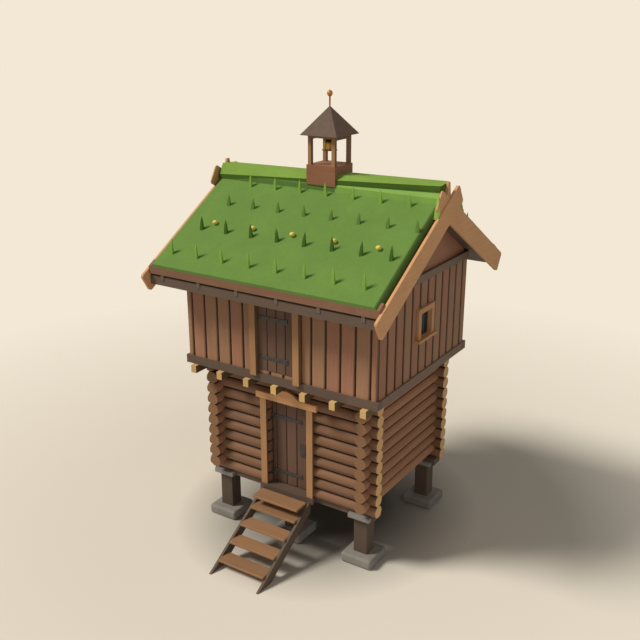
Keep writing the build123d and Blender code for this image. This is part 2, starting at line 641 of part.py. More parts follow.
with BuildPart() as ridge_stops:
    with BuildSketch(Plane.YZ.offset(DECK_HALF - RIDGE_STOP_THICKNESS)) as stop_face:
        with BuildLine():
            Polyline((-RIDGE_STOP_HALF, 0), (RIDGE_STOP_HALF, 0), (RIDGE_STOP_HALF, DECK_PEAK),
                     (RIDGE_STOP_TIP, RIDGE_STOP_TOP), (-RIDGE_STOP_TIP, RIDGE_STOP_TOP),
                     (-RIDGE_STOP_HALF, DECK_PEAK), close=True)
        make_face()
    extrude(amount=RIDGE_STOP_THICKNESS)
    mirror(about=Plane.YZ)
    below_peak(DECK_PEAK)
save(ridge_stops, "ridge_stops")

with BuildPart() as turf_logs:
    for side in (-1, 1):
        prism([at_level(side, TURF_LOG_BACK, -TURF_OVER_LOG), at_level(side, TURF_LOG_FACE, -TURF_OVER_LOG),
               at_level(side, TURF_LOG_FACE, TURF_LOG_FOOT), at_level(side, TURF_LOG_BACK, TURF_LOG_FOOT)],
              DECK_HALF)
save(turf_logs, "turf_logs")

with BuildPart() as turf_log_hooks:
    hook_end = DECK_END + HOOK_THICKNESS
    hook = [(DECK_END, DECK_OUT - HOOK_LEG), (DECK_END, DECK_OUT), (DECK_END - HOOK_ARM, DECK_OUT),
            (DECK_END - HOOK_ARM, TURF_LOG_FOOT), (hook_end, TURF_LOG_FOOT), (hook_end, DECK_OUT - HOOK_LEG)]
    first_hook = -(HOOK_COUNT - 1) / 2 * HOOK_SPACING
    for i in range(HOOK_COUNT):
        for side in (-1, 1):
            x = first_hook + i * HOOK_SPACING
            with BuildSketch(Plane.YZ.offset(x - HOOK_WIDTH / 2)) as hook_side:
                with BuildLine():
                    Polyline(*[at_level(side, y, out) for y, out in hook], close=True)
                make_face()
            extrude(hook_side.sketch, amount=HOOK_WIDTH)
save(turf_log_hooks, "turf_log_hooks")


# ---------------------------------------------------------------- verge boards, lapped at the ridge
def verge_outline(side):
    """Outline of one verge board: parallel edges down a slope, ends cut square and rounded."""
    foot = (side * VERGE_FOOT_Y, VERGE_PEAK - SLOPE * VERGE_FOOT_Y)
    head = (-side * VERGE_BOARD_HEAD, VERGE_PEAK + SLOPE * VERGE_BOARD_HEAD)
    inward = (-side * DOWN * VERGE_BOARD_WIDTH, -ACROSS * VERGE_BOARD_WIDTH)
    with BuildSketch(Plane.YZ) as outline:
        with BuildLine():
            Polyline(head, foot, (foot[0] + inward[0], foot[1] + inward[1]),
                     (head[0] + inward[0], head[1] + inward[1]), close=True)
        make_face()
        fillet(outline.vertices(), VERGE_BOARD_ROUND)
    return outline.sketch


def slab(sketch, x0, x1, mode=Mode.ADD):
    """Extrudes an outline in the YZ plane from one X to another."""
    extrude(Pos(x0, 0, 0) * sketch, amount=x1 - x0, mode=mode)


front_outline = verge_outline(-1)
back_outline = verge_outline(1)
VERGE_MID = (VERGE_IN + VERGE_OUT) / 2
with BuildPart() as front_verge_boards:
    slab(front_outline, VERGE_IN, VERGE_OUT)
    slab(back_outline, VERGE_IN, VERGE_MID, Mode.SUBTRACT)
    mirror(about=Plane.YZ)
save(front_verge_boards, "front_verge_boards")

with BuildPart() as back_verge_boards:
    slab(back_outline, VERGE_IN, VERGE_OUT)
    lower_edge = VERGE_PEAK - VERGE_BOARD_WIDTH / ACROSS
    with BuildSketch(Plane.YZ.offset(VERGE_MID)) as over_lap:
        with BuildLine():
            Polyline((REACH, lower_edge + SLOPE * REACH), (-REACH, lower_edge - SLOPE * REACH),
                     (-REACH, REACH * 2), (REACH, REACH * 2), close=True)
        make_face()
    extrude(over_lap.sketch, amount=VERGE_BOARD_THICKNESS, mode=Mode.SUBTRACT)
    mirror(about=Plane.YZ)
save(back_verge_boards, "back_verge_boards")

# ---------------------------------------------------------------- bell turret
with BuildPart() as turret_base:
    block((-TURRET_HALF, TURRET_HALF), (-TURRET_HALF, TURRET_HALF), (0, TURRET_TOP))
    inner = TURRET_HALF - TURRET_BOARD
    block((-inner, inner), (-inner, inner), (0, TURRET_TOP - TURRET_BOARD), Mode.SUBTRACT)
    block((-TURRET_HALF, TURRET_HALF), (-TURRET_HALF, -TURRET_STEP_BACK), (0, TURRET_FRONT_FOOT),
          Mode.SUBTRACT)
    below_peak(DECK_PEAK)
save(turret_base, "turret_base")

with BuildPart() as turret_frame:
    with Locations(*[(x, y, TURRET_TOP + TURRET_POST_HEIGHT / 2)
                     for x in (-TURRET_POST_AT, TURRET_POST_AT) for y in (-TURRET_POST_AT, TURRET_POST_AT)]):
        Box(TURRET_POST, TURRET_POST, TURRET_POST_HEIGHT)
    plate_span = (TURRET_POST_TOP - TURRET_PLATE_HEIGHT, TURRET_POST_TOP)
    bearing_span = (TURRET_POST_TOP - TURRET_BEARING_HEIGHT, TURRET_POST_TOP)
    near = TURRET_POST_AT - TURRET_POST / 2
    far = TURRET_POST_AT + TURRET_POST / 2
    for side in (-1, 1):
        block((side * near, side * far), (-far, far), bearing_span)
        block((-far, far), (side * near, side * far), plate_span)
    with Locations(Location((0, 0, SWING_Z), (0, 90, 0))):
        Cylinder(YOKE_PIN_RADIUS + YOKE_PIN_CLEARANCE, REACH, mode=Mode.SUBTRACT)
save(turret_frame, "turret_frame")

with BuildPart() as turret_roof:
    with BuildSketch(Plane.XY.offset(TURRET_POST_TOP)):
        Rectangle(TURRET_EAVE_HALF * 2, TURRET_EAVE_HALF * 2)
    extrude(amount=TURRET_EAVE_EDGE)
    with BuildSketch(Plane.XY.offset(TURRET_POST_TOP + TURRET_EAVE_EDGE)):
        Rectangle(TURRET_EAVE_HALF * 2, TURRET_EAVE_HALF * 2)
    with BuildSketch(Plane.XY.offset(TURRET_POST_TOP + TURRET_EAVE_EDGE + TURRET_ROOF_RISE)):
        Rectangle(FINIAL_ROD_RADIUS, FINIAL_ROD_RADIUS)
    loft()
    hollow = near - TURRET_ROOF_BEARING
    rise = hollow * TURRET_ROOF_RISE / TURRET_EAVE_HALF
    with BuildSketch(Plane.XY.offset(TURRET_POST_TOP)):
        Rectangle(hollow * 2, hollow * 2)
    with BuildSketch(Plane.XY.offset(TURRET_POST_TOP + rise * 0.9)):
        Rectangle(hollow * 0.2, hollow * 0.2)
    loft(mode=Mode.SUBTRACT)
save(turret_roof, "turret_roof")

FINIAL_FOOT = TURRET_POST_TOP + TURRET_EAVE_EDGE + TURRET_ROOF_RISE
with BuildPart() as finial:
    with Locations((0, 0, FINIAL_FOOT)):
        Cylinder(FINIAL_ROD_RADIUS, FINIAL_ROD_HEIGHT, align=(Align.CENTER, Align.CENTER, Align.MIN))
    with Locations((0, 0, FINIAL_FOOT + FINIAL_ROD_HEIGHT + FINIAL_KNOB_RADIUS * 0.8)):
        Sphere(FINIAL_KNOB_RADIUS)
save(finial, "finial")

# ---------------------------------------------------------------- bell and its yoke
with BuildPart() as bell_yoke:
    block((-YOKE_LENGTH / 2, YOKE_LENGTH / 2), (-YOKE_WIDTH / 2, YOKE_WIDTH / 2),
          (SWING_Z - YOKE_BELOW, SWING_Z + YOKE_ABOVE))
    with Locations(Location((0, 0, SWING_Z), (0, 90, 0))):
        Cylinder(YOKE_PIN_RADIUS, far * 2)
save(bell_yoke, "bell_yoke")

with BuildPart() as bell:
    crown = SWING_Z - YOKE_BELOW - BELL_HANGER
    lip = crown - BELL_HEIGHT
    with BuildSketch(Plane.XZ) as bell_half:
        with BuildLine():
            outer = Spline((BELL_LIP_RADIUS, lip), (BELL_LIP_RADIUS * 0.76, lip + BELL_HEIGHT * 0.35),
                           (BELL_LIP_RADIUS * 0.62, lip + BELL_HEIGHT * 0.78),
                           (BELL_LIP_RADIUS * 0.3, crown))
            Line(outer @ 1, (0, crown))
            Line((0, crown), (0, crown - BELL_WALL))
            inner_line = Spline((BELL_LIP_RADIUS - BELL_WALL * 1.4, lip),
                                (BELL_LIP_RADIUS * 0.76 - BELL_WALL, lip + BELL_HEIGHT * 0.35),
                                (BELL_LIP_RADIUS * 0.62 - BELL_WALL, lip + BELL_HEIGHT * 0.74),
                                (BELL_LIP_RADIUS * 0.26, crown - BELL_WALL))
            Line(inner_line @ 1, (0, crown - BELL_WALL))
            Line(outer @ 0, inner_line @ 0)
        make_face()
    revolve(axis=Axis.Z)
    with Locations((0, 0, crown)):
        Cylinder(BELL_HANGER_RADIUS, BELL_HANGER, align=(Align.CENTER, Align.CENTER, Align.MIN))
save(bell, "bell")

# ---------------------------------------------------------------- stair
STAIR_SLOPE = STEP_RISE / STEP_RUN
STRINGER_TOP_EDGE = STEP_RISE - STRINGER_DROP  # height of its upper edge under the first nosing
STRINGER_END = -THRESHOLD_FRONT
STRINGER_HEAD = TOP_STEP_Z - STRINGER_HEAD_DROP


def stringer_edge(y):
    """Height of a stringer's upper edge at a place along the flight."""
    return STRINGER_TOP_EDGE + (y - FIRST_STEP_FRONT) * STAIR_SLOPE


with BuildPart() as stair_stringers:
    fall = STRINGER_DEPTH * sqrt(1 + STAIR_SLOPE**2)
    toe = FIRST_STEP_FRONT - STRINGER_TOP_EDGE / STAIR_SLOPE
    heel = toe + fall / STAIR_SLOPE
    brow = toe + STRINGER_HEAD / STAIR_SLOPE
    with BuildSketch(Plane.YZ) as stringer_side:
        with BuildLine():
            Polyline((toe, 0), (heel, 0), (STRINGER_END, stringer_edge(STRINGER_END) - fall),
                     (STRINGER_END, STRINGER_HEAD), (brow, STRINGER_HEAD), close=True)
        make_face()
    for side in (-1, 1):
        near_face = STAIR_HALF if side > 0 else -STAIR_HALF - STRINGER_THICKNESS
        extrude(Pos(near_face, 0, 0) * stringer_side.sketch, amount=STRINGER_THICKNESS)
save(stair_stringers, "stair_stringers")

with BuildPart() as stair_treads:
    for i in range(STEP_COUNT):
        front = FIRST_STEP_FRONT + i * STEP_RUN
        top = (i + 1) * STEP_RISE
        block((-STAIR_HALF, STAIR_HALF), (front, front + STEP_DEPTH), (top - STEP_THICKNESS, top))
    block((-STAIR_HALF, STAIR_HALF), (TOP_STEP_BACK_Y - TOP_STEP_DEPTH, TOP_STEP_BACK_Y),
          (TOP_STEP_Z - STEP_THICKNESS, TOP_STEP_Z))
save(stair_treads, "stair_treads")
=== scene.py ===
"""Dresses the raised granary: boards, planks, turf, ironwork and stone around its CAD frame.

Every size is in metres, X along the front, Y from front to back, Z up. Places are counted from the
centre of the log storey; low, high, place and solid carry them from and to the frame's own origin."""

import bpy
import numpy as np
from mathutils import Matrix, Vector


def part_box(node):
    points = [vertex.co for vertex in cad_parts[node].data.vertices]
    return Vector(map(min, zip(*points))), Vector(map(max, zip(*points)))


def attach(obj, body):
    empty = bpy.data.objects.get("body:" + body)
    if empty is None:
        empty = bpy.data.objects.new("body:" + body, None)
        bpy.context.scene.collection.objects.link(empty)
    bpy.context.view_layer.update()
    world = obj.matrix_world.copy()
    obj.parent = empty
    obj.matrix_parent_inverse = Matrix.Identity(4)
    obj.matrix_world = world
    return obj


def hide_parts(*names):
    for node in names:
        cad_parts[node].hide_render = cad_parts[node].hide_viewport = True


bl_info = {
    "name": "Raised granary",
    "version": (1, 0, 0),
    "blender": (4, 5, 0),
    "location": "3D View > Sidebar > Granary",
    "description": "Boards, doors, turf and finishes of a raised granary",
    "category": "Object",
}

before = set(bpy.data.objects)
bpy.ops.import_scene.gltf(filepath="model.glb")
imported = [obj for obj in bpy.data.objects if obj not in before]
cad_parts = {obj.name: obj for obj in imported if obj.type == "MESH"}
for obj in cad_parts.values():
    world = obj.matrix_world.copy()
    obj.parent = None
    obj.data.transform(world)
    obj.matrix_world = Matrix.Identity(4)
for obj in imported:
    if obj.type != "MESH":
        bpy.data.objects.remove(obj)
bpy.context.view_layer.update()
HOUSE, DOOR = "house", "door"
CENTRE = np.array([0.0, (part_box("base_stones")[0][1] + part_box("base_stones")[1][1]) / 2, 0.0])
MID_Y = float(CENTRE[1])


def low(node):
    """Lowest corner of a CAD node, from the centre of the log storey."""
    return np.array(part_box(node)[0]) - CENTRE


def high(node):
    """Highest corner of a CAD node, from the centre of the log storey."""
    return np.array(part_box(node)[1]) - CENTRE


# ---------------------------------------------------------------- places read from the frame
WALL_X = high("upper_front_wall")[0]
WALL_Y = high("upper_back_wall")[1]
WALL_FOOT = high("long_sills")[2]
SIDE_WALL_TOP = high("upper_right_wall")[2]
LOG_Y = (low("front_wall_left")[1] + high("front_wall_left")[1]) / 2
LOG_X = (low("right_log_wall")[0] + high("right_log_wall")[0]) / 2
LOG_RADIUS = (high("right_log_wall")[0] - low("right_log_wall")[0]) / 2
FIRST_FRONT_LOG = low("front_wall_left")[2] + LOG_RADIUS

# ---------------------------------------------------------------- sizes shared by several pieces
COURSE = 0.230
JOIST_SPACING = 0.633
ROOF_ANGLE = float(np.radians(31.0))
ROOF_TAN = float(np.tan(ROOF_ANGLE))
RIDGE_Z = 6.970
TURF_THICKNESS = 0.214
DECK_THICKNESS = 0.138
SOFFIT_PEAK = RIDGE_Z - (TURF_THICKNESS + DECK_THICKNESS) / float(np.cos(ROOF_ANGLE))


def turf_height(y):
    """Height of the turf's upper face at a distance in front of or behind the ridge."""
    return RIDGE_Z - ROOF_TAN * abs(y)


def linear(r, g, b):
    """A colour given in display values from 0 to 255 as the linear values that shaders use."""
    c = np.array([r, g, b], float) / 255
    return tuple(float(v) for v in np.where(c <= 0.04045, c / 12.92, ((c + 0.055) / 1.055) ** 2.4))


# ---------------------------------------------------------------- sizes and colours a user would change
class BoardingSettings(bpy.types.PropertyGroup):
    """Boards of the upper storey and of the doors."""

    pitch: bpy.props.FloatProperty(
        name="Board width", description="From one joint of the wall boards to the next", default=0.302,
        subtype="DISTANCE", unit="LENGTH")
    end_shift: bpy.props.FloatProperty(
        name="End joint", description="Place of the joint nearest the middle of an end wall", default=0.055,
        subtype="DISTANCE", unit="LENGTH")
    thickness: bpy.props.FloatProperty(
        name="Board thickness", description="How far the wall boards stand out", default=0.046,
        subtype="DISTANCE", unit="LENGTH")
    gap: bpy.props.FloatProperty(
        name="Gap", description="Open joint between two boards", default=0.027,
        subtype="DISTANCE", unit="LENGTH")
    ease: bpy.props.FloatProperty(
        name="Rounded edge", description="How far the long edges of a board are rounded", default=0.036,
        subtype="DISTANCE", unit="LENGTH")
    color: bpy.props.FloatVectorProperty(
        name="Board colour", description="Colour of the reddish boards", subtype="COLOR", size=3,
        default=linear(173, 124, 97), min=0, max=1)
    second_color: bpy.props.FloatVectorProperty(
        name="Second board colour", description="Colour of the browner boards", subtype="COLOR", size=3,
        default=linear(168, 127, 97), min=0, max=1)
    door_color: bpy.props.FloatVectorProperty(
        name="Door colour", description="Colour of the door planks", subtype="COLOR", size=3,
        default=linear(106, 79, 65), min=0, max=1)


class TimberSettings(bpy.types.PropertyGroup):
    """Logs, beams and light trim."""

    log_color: bpy.props.FloatVectorProperty(
        name="Log colour", description="Colour of the logs", subtype="COLOR", size=3,
        default=linear(142, 104, 78), min=0, max=1)
    end_color: bpy.props.FloatVectorProperty(
        name="Log end colour", description="Colour of the sawn log ends", subtype="COLOR", size=3,
        default=linear(196, 160, 112), min=0, max=1)
    shaded_end_color: bpy.props.FloatVectorProperty(
        name="Front end colour", description="Colour of the browner log ends that look to the front",
        subtype="COLOR", size=3, default=linear(143, 107, 76), min=0, max=1)
    beam_color: bpy.props.FloatVectorProperty(
        name="Beam colour", description="Colour of the dark beams", subtype="COLOR", size=3,
        default=linear(98, 82, 70), min=0, max=1)
    trim_color: bpy.props.FloatVectorProperty(
        name="Trim colour", description="Colour of casings, posts and verge boards", subtype="COLOR", size=3,
        default=linear(186, 140, 98), min=0, max=1)


class TurfSettings(bpy.types.PropertyGroup):
    """Turf, grass and flowers."""

    color: bpy.props.FloatVectorProperty(
        name="Turf colour", description="Colour of the short grass", subtype="COLOR", size=3,
        default=linear(115, 155, 80), min=0, max=1)
    tuft_height: bpy.props.FloatProperty(
        name="Tuft height", description="Height of a grass tuft", default=0.27,
        subtype="DISTANCE", unit="LENGTH")
    tuft_radius: bpy.props.FloatProperty(
        name="Tuft radius", description="Half width of a grass tuft at its foot", default=0.046,
        subtype="DISTANCE", unit="LENGTH")
    flower_radius: bpy.props.FloatProperty(
        name="Flower radius", description="Radius of a yellow flower head", default=0.050,
        subtype="DISTANCE", unit="LENGTH")


# ---------------------------------------------------------------- shader maths
def add_node(tree, kind, settings=None, values=None, output=0):
    """Adds a node: its settings first, then the values or wires of its sockets; gives one output."""
    node = tree.nodes.new(kind)
    for key, value in (settings or {}).items():
        setattr(node, key, value)
    for key, value in (values or {}).items():
        if isinstance(value, Wire):
            tree.links.new(value.socket, node.inputs[key])
        else:
            node.inputs[key].default_value = value
    return Wire(tree, node.outputs[output])


class Wire:
    """One socket of a shader, on which plain arithmetic adds the Math nodes that do it."""

    def __init__(self, tree, socket):
        self.tree, self.socket = tree, socket

    def beside(self, output):
        """Another output of the same node."""
        return Wire(self.tree, self.socket.node.outputs[output])

    def math(self, operation, *values):
        return add_node(self.tree, "ShaderNodeMath", {"operation": operation}, dict(enumerate(values)))

    def __add__(self, other):
        return self.math("ADD", self, other)

    __radd__ = __add__

    def __sub__(self, other):
        return self.math("SUBTRACT", self, other)

    def __rsub__(self, other):
        return self.math("SUBTRACT", other, self)

    def __mul__(self, other):
        return self.math("MULTIPLY", self, other)

    __rmul__ = __mul__

    def __truediv__(self, other):
        return self.math("DIVIDE", self, other)

    def __rtruediv__(self, other):
        return self.math("DIVIDE", other, self)

    def __gt__(self, other):
        return self.math("GREATER_THAN", self, other)

    def __lt__(self, other):
        return self.math("LESS_THAN", self, other)

    def __abs__(self):
        return self.math("ABSOLUTE", self)

    def floor(self):
        return self.math("FLOOR", self)

    def fraction(self):
        return self.math("FRACT", self)

    def root(self):
        return self.math("SQRT", self)

    def sine(self):
        return self.math("SINE", self)

    def larger(self, other):
        return self.math("MAXIMUM", self, other)

    def smaller(self, other):
        return self.math("MINIMUM", self, other)

    def clamp(self):
        return self.larger(0.0).smaller(1.0)


class Finish:
    """A material being built: one Principled shader and what feeds it."""

    def __init__(self, name, base, roughness=0.7, metallic=0.0):
        self.material = bpy.data.materials.new(name)
        self.material.use_nodes = True
        self.material.diffuse_color = (*base, 1.0)
        self.tree = self.material.node_tree
        self.shader = self.tree.nodes["Principled BSDF"]
        self.shader.inputs["Base Color"].default_value = (*base, 1.0)
        self.shader.inputs["Roughness"].default_value = roughness
        self.shader.inputs["Metallic"].default_value = metallic
        self.coords = None

    def node(self, kind, settings=None, values=None, output=0):
        return add_node(self.tree, kind, settings, values, output)

    def parts(self, output):
        """X, Y and Z of an output of the Texture Coordinate node."""
        x = self.node("ShaderNodeSeparateXYZ", None, {0: self.node("ShaderNodeTexCoord", output=output)})
        return [x, x.beside("Y"), x.beside("Z")]

    def place(self):
        """X, Y and Z of the point being shaded, in metres from the centre of the log storey."""
        if self.coords is None:
            x, y, z = self.parts("Object")
            self.coords = [x, y - MID_Y, z]
        return self.coords

    def facing(self):
        """X, Y and Z of the surface's own direction, in the frame's axes."""
        return self.parts("Normal")

    def vector(self, x, y, z):
        return self.node("ShaderNodeCombineXYZ", None, {0: x, 1: y, 2: z})

    def point(self):
        """The place as one vector."""
        return self.vector(*self.place())

    def stretched(self, scale, shift=(0, 0, 0)):
        """The place as one vector, each part times its own scale and moved by its own shift."""
        parts = [part * factor for part, factor in zip(self.place(), scale)]
        return self.vector(*[part if step == 0 else part + step for part, step in zip(parts, shift)])

    def noise(self, vector, scale=1.0, detail=3.0, roughness=0.55):
        return self.node("ShaderNodeTexNoise", {"noise_dimensions": "3D"},
                         {"Vector": vector, "Scale": scale, "Detail": detail, "Roughness": roughness})

    def chance(self, number):
        """A fixed random value from 0 to 1 for each whole number."""
        return self.node("ShaderNodeTexWhiteNoise", {"noise_dimensions": "1D"}, {"W": number})

    def mix(self, factor, first, second):
        """A colour between two colours."""
        return self.node("ShaderNodeMix", {"data_type": "RGBA"},
                         {"Factor": factor, "A": self.opaque(first), "B": self.opaque(second)}, output="Result")

    def darken(self, factor, color, depth):
        """A colour multiplied by the depth where the factor is one."""
        return self.node("ShaderNodeMix", {"data_type": "RGBA", "blend_type": "MULTIPLY"},
                         {"Factor": factor, "A": color, "B": (depth, depth, depth, 1.0)}, output="Result")

    def opaque(self, color):
        """A colour with its alpha, where it isn't a wire."""
        return color if isinstance(color, Wire) else (*color[:3], 1.0)

    def set(self, socket, value):
        self.tree.links.new(value.socket, self.shader.inputs[socket])

    def bump(self, height, strength, distance):
        self.set("Normal", self.node("ShaderNodeBump", None, {
            "Strength": strength, "Distance": distance, "Height": height}))


def times(color, factor):
    """A colour made darker or lighter by a factor."""
    return tuple(min(1.0, c * factor) for c in color[:3])


def count_along(axis, width, shift=0.0):
    """Counts boards of one width along an axis, for wood()."""
    return lambda *place: (place["xyz".index(axis)] / width + shift).floor()


def wood(name, color, along, number=None, spread=0.16, roughness=0.68, across=30.0, contrast=0.3, second=None,
         side=None, side_shade=0.5):
    """Sawn timber. Grain: noise drawn out along one axis, with finer pores over it.
    number, if given, turns the place into a count of the board, which shifts the grain, and the tone by
    the spread. About half of the boards take the second colour, if there is one. side names an axis:
    faces that look along it are darker, a painted shade."""
    f = Finish(name, color, roughness)
    p = f.place()
    count = number(*p) if number else (p[0] * 0.37 + p[1] * 0.31).floor()
    tone = f.chance(count)
    axis = "xyz".index(along)
    scale, fibre = [across] * 3, [across * 5] * 3
    scale[axis], fibre[axis] = 1.1, 5.0
    shift = tone * 9.0
    grain = f.noise(f.stretched(scale, (shift, shift, shift)), detail=4.0)
    pores = f.noise(f.stretched(fibre), detail=2.0)
    broad = f.noise(f.stretched((1.3, 1.3, 1.3), (shift, 0, 0)), detail=2.0)
    depth = ((grain - 0.5) * (contrast * 2.2) + (pores - 0.5) * contrast + (broad - 0.5) * 0.5
             + (tone - 0.5) * (spread * 2.5) + 0.5).clamp()
    dark, light = times(color, 0.68), times(color, 1.3)
    if second is not None:
        pick = f.chance(count * 1.7 + 5.0) > 0.5
        dark, light = f.mix(pick, dark, times(second, 0.68)), f.mix(pick, light, times(second, 1.3))
    base = f.mix(depth, dark, light)
    if side:
        # painted shade on the faces that look along the side axis
        base = f.darken(abs(f.facing()["xyz".index(side)]) > 0.75, base, side_shade)
    f.set("Base Color", base)
    f.set("Roughness", (roughness - 0.1) + grain * 0.22)
    f.bump(grain * 0.6 + pores * 0.4, 0.35, 0.004)
    return f


def log_finish(name, color, end_color, run, axis_side, axis_height, end_tone):
    """Round timber: grain along the log, a tone of its own for each course, painted shade in the seams and
    rings on the sawn ends. Rings: a sine of the distance from the log's own axis, bent by noise.
    axis_side and axis_height place the axis of the first log."""
    f = Finish(name, color, 0.75)
    p = f.place()
    along_x = run == "x"
    side = p[1] if along_x else p[0]
    course = (p[2] - (axis_height - COURSE / 2)) / COURSE
    count = course.floor()
    up = (course.fraction() - 0.5) * COURSE
    out = abs(side) - axis_side
    tone = f.chance(count + (17.0 if along_x else 43.0))
    shift = tone * 8.0
    stretch = np.array((1.0, 24.0, 24.0) if along_x else (24.0, 1.0, 24.0))
    grain = f.noise(f.stretched(stretch, (shift, shift, 0)), detail=4.0)
    checks = f.noise(f.stretched(stretch * (0.6, 2.5, 2.5), (3.0, 0, shift)), detail=2.0)
    depth = ((grain - 0.5) * 0.8 + (checks - 0.5) * 0.5 + (tone - 0.5) * 0.5 + 0.5).clamp()
    bark = f.mix(depth, times(color, 0.68), times(color, 1.28))
    # painted shade: the bark darkens to near black in the seams between courses
    seam_shade = ((abs(up) - 0.092) / 0.016).clamp()
    bark = f.mix(seam_shade, bark, linear(44, 31, 22))
    sawn = (abs(f.facing()[0 if along_x else 1]) > 0.8) * (abs(p[0]) > 1.3)
    radius = (out * out + up * up).root()
    bend = f.noise(f.stretched((9.0, 9.0, 9.0)), detail=1.0)
    rings = (radius * 520.0 + bend * 7.0).sine() * 0.5 + 0.5
    rays = f.noise(f.vector(out * 60.0, up * 60.0, count * 3.1), detail=2.0)
    ends = f.mix((rings * 0.55 + rays * 0.5 - 0.05).clamp(), times(end_color, end_tone * 0.8),
                 times(end_color, end_tone * 1.1))
    f.set("Base Color", f.mix(sawn, bark, ends))
    f.set("Roughness", 0.66 + grain * 0.2)
    f.bump(grain * 0.7 + checks * 0.3, 0.4, 0.006)
    return f


def grass(name, color, spread=0.35, depth=0.012, edge=None, lap_light=None):
    """Short turf: fine mottling over broad patches, with a soft nap in the bump. Upright faces take the
    edge colour, a painted shade; with a lap colour, the rounded ends take a darker edge colour, more
    painted shade, and the step at the ridge takes the lap colour, a painted light."""
    f = Finish(name, color, 0.9)
    p = f.place()
    point = f.point()
    fine = f.noise(point, 70.0, 3.0, 0.65)
    middle = f.noise(point, 14.0, 3.0)
    broad = f.noise(point, 1.7, 2.0)
    tone = ((fine - 0.5) * spread + (middle - 0.5) * spread * 0.8 + (broad - 0.5) * 0.5 + 0.5).clamp()
    base = f.mix(tone, times(color, 0.72), (color[0] * 1.28, color[1] * 1.24, color[2] * 1.1))
    if edge:
        # painted shade: upright faces take the edge colour
        base = f.mix(f.facing()[2] < 0.3, base, f.mix(tone, times(edge, 0.7), times(edge, 1.3)))
    if lap_light:
        # painted shade: the rounded verge ends take a darker copy of the edge colour
        verge = abs(f.facing()[0]) > 0.3
        base = f.mix(verge, base, f.mix(tone, times(edge, 0.5), times(edge, 0.95)))
        # painted light: the step at the ridge takes the lighter lap colour
        step = (f.facing()[1] < -0.7) * (abs(p[1]) < 0.35) * (p[0] > 0.3)
        base = f.mix(step, base, f.mix(tone, times(lap_light, 0.8), times(lap_light, 1.2)))
    f.set("Base Color", base)
    f.set("Roughness", 0.82 + fine * 0.15)
    f.bump(fine * 0.6 + middle * 0.4, 0.5, depth)
    f.shader.inputs["Specular IOR Level"].default_value = 0.2
    return f


def stone(name, color):
    """Dressed grey stone: grains, paler veins and a pitted surface."""
    f = Finish(name, color, 0.85)
    point = f.point()
    grains = f.noise(point, 55.0, 3.0, 0.7)
    clouds = f.noise(point, 4.5, 4.0)
    pits = f.node("ShaderNodeTexVoronoi", {"feature": "F1"}, {"Vector": point, "Scale": 26.0})
    tone = ((grains - 0.5) * 0.7 + (clouds - 0.5) * 0.9 + 0.5).clamp()
    f.set("Base Color", f.mix(tone, times(color, 0.68), times(color, 1.32)))
    f.set("Roughness", 0.75 + grains * 0.2)
    f.bump(grains * 0.5 + pits * 0.5, 0.45, 0.008)
    return f


def metal(name, color, roughness, metallic, worn, scale=40.0, share=0.5):
    """Worked metal: hammer marks in the bump, and worn or tarnished patches in the colour."""
    f = Finish(name, color, roughness, metallic)
    point = f.point()
    marks = f.noise(point, scale, 2.0)
    patches = f.noise(point, scale * 0.25, 3.0)
    f.set("Base Color", f.mix(((patches - 0.5) * 2.2 + share).clamp(), color, worn))
    f.set("Roughness", (roughness - 0.1) + marks * 0.25)
    f.bump(marks, 0.3, 0.002)
    return f


def pane_finish():
    """Old window glass: glossy, with a painted blue reflection that wavers a little."""
    f = Finish("Window pane", linear(76, 98, 118), 0.12)
    ripple = f.noise(f.stretched((4.0, 9.0, 5.0)), detail=2.0)
    f.set("Base Color", f.mix(ripple, linear(64, 86, 106), linear(108, 132, 154)))
    f.bump(ripple, 0.1, 0.004)
    return f


def petal_finish():
    """Yellow petals with paler and deeper specks."""
    f = Finish("Yellow flowers", linear(246, 222, 92), 0.6)
    speck = f.noise(f.point(), 120.0, 2.0)
    f.set("Base Color", f.mix(speck, linear(240, 204, 64), linear(255, 244, 140)))
    f.bump(speck, 0.3, 0.003)
    return f


def dress(finish, *nodes):
    """Gives CAD nodes a finish."""
    for name in nodes:
        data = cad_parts[name].data
        data.materials.clear()
        data.materials.append(finish.material)


# ---------------------------------------------------------------- shapes
def add_object(name, data, location=(0, 0, 0), rotation=(0, 0, 0)):
    """Puts an object into the scene."""
    piece = bpy.data.objects.new(name, data)
    piece.location = location
    piece.rotation_euler = rotation
    bpy.context.scene.collection.objects.link(piece)
    return piece


def solid(name, verts, faces, finish, body, smooth=False, slot=None):
    """Puts computed points and faces into a mesh at the frame's origin that rides on a body."""
    mesh = bpy.data.meshes.new(name)
    mesh.from_pydata((np.asarray(verts, float) + CENTRE).tolist(), [], [list(map(int, f)) for f in faces])
    mesh.update()
    mesh.polygons.foreach_set("use_smooth", [smooth] * len(mesh.polygons))
    mesh.materials.append(finish.material)
    piece = add_object(name, mesh)
    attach(piece, body)
    return piece


